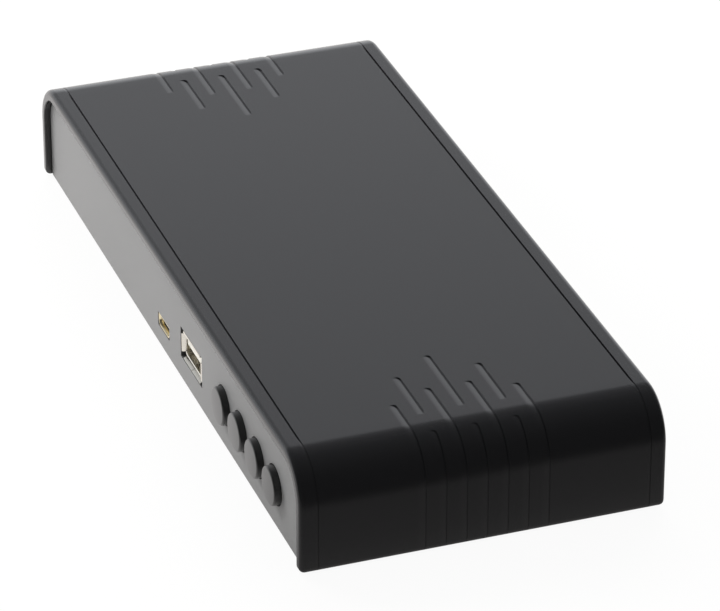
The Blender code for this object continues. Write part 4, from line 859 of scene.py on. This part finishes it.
def build_usb_shell():
    width, height = USB_BODY.x, USB_BODY.z
    thin = 1 - 2 * USB_WALL / width, 1 - 2 * USB_WALL / height
    half = 1 - USB_WALL / width, 1 - USB_WALL / height
    rings = [
        (1, 1, USB_DEPTH),
        (1, 1, BODY_START + USB_WALL / 3),
        (*half, BODY_START),
        (*thin, BODY_START + USB_WALL / 3),
        (*thin, USB_DEPTH - USB_WALL),
    ]
    parts = [loft(box_outline(width, height), USB_ROUNDING, rings, USB_PLACE)]
    across, rise = (USB_LIP.x - width) / 2, (USB_LIP.z - height) / 2
    tall, wide = height - 2 * FLAP_NOTCH, width - 2 * FLAP_NOTCH
    for side in (-1, 1):
        start = USB_PLACE + Vector((side * width / 2, 0, 0))
        line = flap_line(across)
        parts.append(bent_strip(start, (side, 0, 0), (0, 0, tall), line, USB_WALL, FLAP_ROUNDING))
    top = USB_PLACE + Vector((0, 0, height / 2))
    parts.append(bent_strip(top, (0, 0, 1), (wide, 0, 0), flap_line(rise), USB_WALL, FLAP_ROUNDING))
    for side in (-1, 1):
        start = USB_PLACE + Vector((side * (wide + SPLIT_GAP) / 4, 0, -height / 2))
        share = (wide - SPLIT_GAP) / 2
        line = flap_line(LOWER_FLARE, LOWER_BEND)
        parts.append(bent_strip(start, (0, 0, -1), (share, 0, 0), line, USB_WALL / 2, FLAP_ROUNDING))
        x = USB_PLACE.x + side * (width - USB_LEG) / 2
        for y in (USB_LOW.y + FRONT_LEG_DEPTH, USB_HIGH.y - USB_LEG):
            low = (x - USB_LEG / 2, y - USB_LEG / 2, USB_LOW.z)
            high = (x + USB_LEG / 2, y + USB_LEG / 2, USB_PLACE.z - height / 2 + USB_WALL / 2)
            parts.append(bar(low, high, USB_LEG_EDGE))
    finish_piece(gather(parts), "usb_a_shell_drawn", "tin_plated_steel", ["usb_a_shell"])


build_usb_shell()

# %% Springs of the shell, tongue and contacts
SPRING_WIDTH = 3.6 * MM
SPRING_THICKNESS = 0.22 * MM
SPRING_PLACE = 3.1 * MM
SPRING_ROUNDING = 0.3 * MM
# Lift and depth of the spring's points in mm
SPRING_LINE = ((0.02, 1.4), (0.12, 1.9), (0.55, 3.0), (0.78, 4.4), (0.72, 5.2), (0.45, 6.0))
CONTACT_PLACES = (-3.5 * MM, -1.0 * MM, 1.0 * MM, 3.5 * MM)
CONTACT_WIDTH = 1.0 * MM
CONTACT_PROUD = 0.16 * MM
CONTACT_EDGE = 0.06 * MM
CONTACT_SETBACK = 0.9 * MM
CONTACT_BACK = 3.1 * MM
TONGUE_TOP = 0.5 * MM
TONGUE_THICKNESS = 1.8 * MM
INSULATOR_EDGE = 0.22 * MM


def build_usb_inside():
    floor_z = USB_PLACE.z - USB_BODY.z / 2 + USB_WALL
    line = [(lift * MM, depth * MM) for lift, depth in SPRING_LINE]
    springs = []
    for side in (-1, 1):
        start = Vector((USB_PLACE.x + side * SPRING_PLACE, USB_LOW.y, floor_z))
        along = (SPRING_WIDTH, 0, 0)
        springs.append(bent_strip(start, (0, 0, 1), along, line, SPRING_THICKNESS, SPRING_ROUNDING))
    finish_piece(gather(springs), "usb_a_springs", "tin_plated_steel")
    soft_copy("usb_a_insulator", INSULATOR_EDGE)
    low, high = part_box("usb_a_insulator")
    under = high.z - TONGUE_TOP - TONGUE_THICKNESS
    contacts = []
    for place in CONTACT_PLACES:
        x = USB_PLACE.x + place
        first = (x - CONTACT_WIDTH / 2, low.y + CONTACT_SETBACK, under - CONTACT_PROUD)
        last = (x + CONTACT_WIDTH / 2, high.y - CONTACT_BACK, under + CONTACT_PROUD)
        contacts.append(bar(first, last, CONTACT_EDGE))
    finish_piece(gather(contacts), "usb_a_contacts", "gold_plated_steel")


build_usb_inside()

# %% [markdown]
# ## Small USB socket, and the sockets of the other side
# The small socket's shell is stamped steel with a pale gold plating, cut off at its lower corners so that
# a plug fits one way only, and flared a little at its mouth. It is lofted like the larger one. The
# picture socket on the other side is plain, larger and tin plated, and the two round jacks are moulded.
# Their solids have the right forms, so merged copies with rounded edges stand for them.

# %% Small USB socket: shell, and a dark sheet of painted shade inside it
MICRO_LOW, MICRO_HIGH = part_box("micro_usb_shell")
MICRO_SIZE = MICRO_HIGH - MICRO_LOW
MICRO_PLACE = middle_of(MICRO_LOW, MICRO_HIGH, y=MICRO_LOW.y)
MICRO_WALL = 0.3 * MM
MICRO_CHAMFER = 0.8 * MM
MICRO_FLARE = 0.2 * MM
MICRO_ROUNDING = 0.3 * MM
MICRO_FLARE_START = 0.9 * MM
# Rings round the mouth, outside to inside: share of the flare, share of the wall, depth in mm
MICRO_RINGS = ((0.25, 0, 0.5), (0.85, 0, 0.15), (1, 0, 0.04), (0.9, 0, 0), (1, 0.8, 0.02), (0.6, 1, 0.3),
               (0, 0.98, 0.8), (0, 1, 1.1))
LINER_WALL = 0.12 * MM
LINER_START = 0.9 * MM
LINER_ROUNDING = 0.25 * MM
LINER_CHAMFER_SHARE = 0.75


def cut_outline(width, height, cut):
    """A box outline whose two lower corners are cut off."""
    right, top = width / 2, height / 2
    return [(right, top), (-right, top), (-right, cut - top), (cut - right, -top), (right - cut, -top),
            (right, cut - top)]


def build_micro_shell():
    width, height = MICRO_SIZE.x, MICRO_SIZE.z

    def grown(by, depth):
        return 1 + 2 * by / width, 1 + 2 * by / height, depth

    rings = [grown(0, MICRO_SIZE.y), grown(0, MICRO_FLARE_START)]
    for flare, wall, depth in MICRO_RINGS:
        rings.append(grown(MICRO_FLARE * flare - MICRO_WALL * wall, depth * MM))
    rings.append(grown(-MICRO_WALL, MICRO_SIZE.y - MICRO_WALL))
    bm = loft(cut_outline(width, height, MICRO_CHAMFER), MICRO_ROUNDING, rings, MICRO_PLACE)
    finish_piece(bm, "micro_usb_shell_drawn", "gold_plated_steel", ["micro_usb_shell"])


def build_micro_shade_sheet():
    """A dark sheet that lines the shell behind its mouth: painted shade inside the socket."""
    width, height = MICRO_SIZE.x - 2 * MICRO_WALL, MICRO_SIZE.z - 2 * MICRO_WALL
    inner = 1 - 2 * LINER_WALL / width, 1 - 2 * LINER_WALL / height
    end = MICRO_SIZE.y - MICRO_WALL
    rings = [(1, 1, end), (1, 1, LINER_START), (*inner, LINER_START + LINER_WALL), (*inner, end - LINER_WALL)]
    outline = cut_outline(width, height, MICRO_CHAMFER * LINER_CHAMFER_SHARE)
    # Painted shade: a dark sheet inside the metal shell, where the socket's inside lies in shade.
    finish_piece(loft(outline, LINER_ROUNDING, rings, MICRO_PLACE), "micro_usb_painted_shade", "socket_insulator")


build_micro_shell()
build_micro_shade_sheet()

# %% Insulators and picture socket
SOCKET_SOFTNESS = {"micro_usb_insulator": 0.08 * MM, "hdmi_shell": 0.13 * MM, "hdmi_insulator": 0.12 * MM}
for node, radius in SOCKET_SOFTNESS.items():
    soft_copy(node, radius)

# %% Contacts on both faces of the picture socket's tongue
TONGUE_HALF = 0.7 * MM
ROW_COUNT = 9
ROW_PITCH = 1.0 * MM
ROW_WIDTH = 0.5 * MM
ROW_PROUD = 0.06 * MM
ROW_EDGE = 0.03 * MM
ROW_SETBACK = 0.5 * MM
ROW_LENGTH_SHARE = 0.6


def build_contact_rows():
    low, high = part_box("hdmi_insulator")
    middle = (low + high) / 2
    reach = (high.y - low.y) * ROW_LENGTH_SHARE
    contacts = []
    for face in (-1, 1):
        z = middle.z + face * TONGUE_HALF
        for i in range(ROW_COUNT):
            x = middle.x + (i - (ROW_COUNT - 1) / 2) * ROW_PITCH
            first = (x - ROW_WIDTH / 2, high.y - reach, z - ROW_PROUD)
            last = (x + ROW_WIDTH / 2, high.y - ROW_SETBACK, z + ROW_PROUD)
            contacts.append(bar(first, last, ROW_EDGE))
    finish_piece(gather(contacts), "hdmi_contacts", "gold_plated_steel")


build_contact_rows()

# %% Sound jack, power jack and its pin
JACK_RING_WIDTH = 0.6 * MM
JACK_RING_PROUD = 0.12 * MM
JACK_RING_DEPTH = 1.2 * MM
JACK_RING_BACK = 0.05 * MM
JACK_BORE = 1.8 * MM
JACK_AXIS_HEIGHT = 3.2 * MM
JACK_SOFTNESS = {"av_jack_body": 0.2 * MM, "dc_jack_body": 0.25 * MM}
PIN_TIP_SHARE = 0.7
PIN_SIDE_SHARE = 0.8


def build_jacks():
    for node, softness in JACK_SOFTNESS.items():
        soft_copy(node, softness)
    low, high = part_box("av_jack_body")
    mouth = middle_of(low, high, high.y, low.z + JACK_AXIS_HEIGHT)
    inner, outer = JACK_BORE, JACK_BORE + JACK_RING_WIDTH
    edge = JACK_RING_PROUD / 2
    profile = [(inner, -JACK_RING_DEPTH), (inner, edge)] + arc((inner + edge, edge), edge, 180, 90, 3)
    profile += arc((outer - edge, edge), edge, 90, 0, 3)
    profile += [(outer, -JACK_RING_BACK), (inner, -JACK_RING_DEPTH)]
    finish_piece(turned(profile, mouth, (0, 1, 0)), "av_jack_ring", "zinc_plated_steel")
    low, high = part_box("dc_jack_pin")
    radius = (high.x - low.x) / 2
    length = high.y - low.y
    tip = radius * PIN_TIP_SHARE
    profile = [(0, 0), (radius, 0), (radius, length - radius * PIN_SIDE_SHARE)]
    profile += arc((radius - tip, length - tip), tip, 0, 90, 6) + [(0, length)]
    pin = turned(profile, middle_of(low, high, y=low.y), (0, 1, 0), 48)
    finish_piece(pin, "dc_jack_pin_turned", SLOT_OF["dc_jack_pin"], ["dc_jack_pin"])


build_jacks()

# %% Status light and remote control receiver
LIGHT_DOME = 1.2 * MM
RECEIVER_EDGE = 0.3 * MM


def build_light():
    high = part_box("status_led")[1]
    bm = soften(merged_copy("status_led"), LIGHT_DOME, 8, on_plane(1, high.y))
    finish_piece(bm, "status_led_domed", SLOT_OF["status_led"], ["status_led"])


build_light()
soft_copy("ir_receiver", RECEIVER_EDGE)

# %% [markdown]
# ## Feet and screws
# Four rubber feet sit in pockets of the floor, and four screws go up through posts. Each foot is turned,
# with a rounded edge and one shallow ring, as moulded rubber feet have.

# %% Feet
FOOT_EDGE = 0.4 * MM
FOOT_TOP_EDGE = 0.1 * MM
FOOT_RING = 0.12 * MM
FOOT_RING_SHARE = 0.62
RING_OUTER = 0.3 * MM
RING_INNER = 0.1 * MM


def build_foot(node):
    low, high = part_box(node)
    radius, height = (high.x - low.x) / 2, high.z - low.z
    ring = radius * FOOT_RING_SHARE
    profile = [(0, height), (radius - FOOT_TOP_EDGE, height), (radius, height - FOOT_TOP_EDGE)]
    profile.append((radius, FOOT_EDGE))
    profile += arc((radius - FOOT_EDGE, FOOT_EDGE), FOOT_EDGE, 0, -90, 6)
    profile += [(ring + RING_OUTER, 0), (ring + RING_INNER, FOOT_RING)]
    profile += [(ring - RING_INNER, FOOT_RING), (ring - RING_OUTER, 0), (0, 0)]
    bm = turned(profile, middle_of(low, high, z=low.z), (0, 0, 1))
    finish_piece(bm, node + "_turned", SLOT_OF[node], [node])


for node in SLOT_OF:
    if node.startswith("foot_"):
        build_foot(node)

# %% Screws
SCREW_EDGE = 0.08 * MM
for node in SLOT_OF:
    if node.startswith(("case_screw_", "board_screw_")):
        soft_copy(node, SCREW_EDGE)

# %% [markdown]
# ## The board and what stands on it
# None of this shows while the case is shut, apart from a glimpse through the cooling slots. The solids
# are kept, with the small radius that each moulded body or stamped can has on the real part.

# %% Board, chips and cans
BOARD_SOFTNESS = {
    "main_board": 0.1 * MM,
    "processor": 0.12 * MM,
    "thermal_pad": 0.12 * MM,
    "heat_sink": 0.15 * MM,
    "memory_chip_1": 0.1 * MM,
    "memory_chip_2": 0.1 * MM,
    "flash_chip": 0.1 * MM,
    "crystal": 0.3 * MM,
    "inductor": 0.35 * MM,
    "regulator": 0.1 * MM,
}
for node, radius in BOARD_SOFTNESS.items():
    soft_copy(node, radius)

# %% Switches behind the buttons
SWITCH_EDGE = 0.2 * MM
PLUNGER_EDGE = 0.25 * MM
for node in SLOT_OF:
    if node.startswith("switch_body_"):
        soft_copy(node, SWITCH_EDGE)
    if node.startswith("switch_plunger_"):
        soft_copy(node, PLUNGER_EDGE, node.replace("switch_plunger", "button"))

# %% Capacitors
CAN_EDGE = 0.45 * MM
CAN_CRIMP = 0.25 * MM
CRIMP_HEIGHT_SHARE = 0.3
CAN_BASE = 1.0 * MM
CAN_INSET = 0.15 * MM
BASE_EDGE = 0.1 * MM
LID_DROP = 0.05 * MM


def build_capacitor(node):
    low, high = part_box(node)
    base_radius, height = (high.x - low.x) / 2, high.z - low.z
    radius = base_radius - CAN_INSET
    crimp = height * CRIMP_HEIGHT_SHARE
    profile = [(0, 0), (base_radius - BASE_EDGE, 0), (base_radius, BASE_EDGE), (base_radius, CAN_BASE)]
    profile.append((radius, CAN_BASE))
    profile += arc((radius + CAN_CRIMP, crimp), 2 * CAN_CRIMP, 210, 150, 6)
    profile += [(radius, crimp + 3 * CAN_CRIMP), (radius, height - CAN_EDGE)]
    profile += arc((radius - CAN_EDGE, height - CAN_EDGE), CAN_EDGE, 0, 90, 6)
    profile += [(radius - 2 * CAN_EDGE, height - LID_DROP), (0, height - LID_DROP)]
    bm = turned(profile, middle_of(low, high, z=low.z), (0, 0, 1))
    finish_piece(bm, node + "_turned", SLOT_OF[node], [node])


for node in SLOT_OF:
    if node.startswith("capacitor_"):
        build_capacitor(node)

# %% [markdown]
# ## Last step
# The colour view is set to Standard.

# %% Set the colour view
bpy.context.scene.view_settings.view_transform = "Standard"
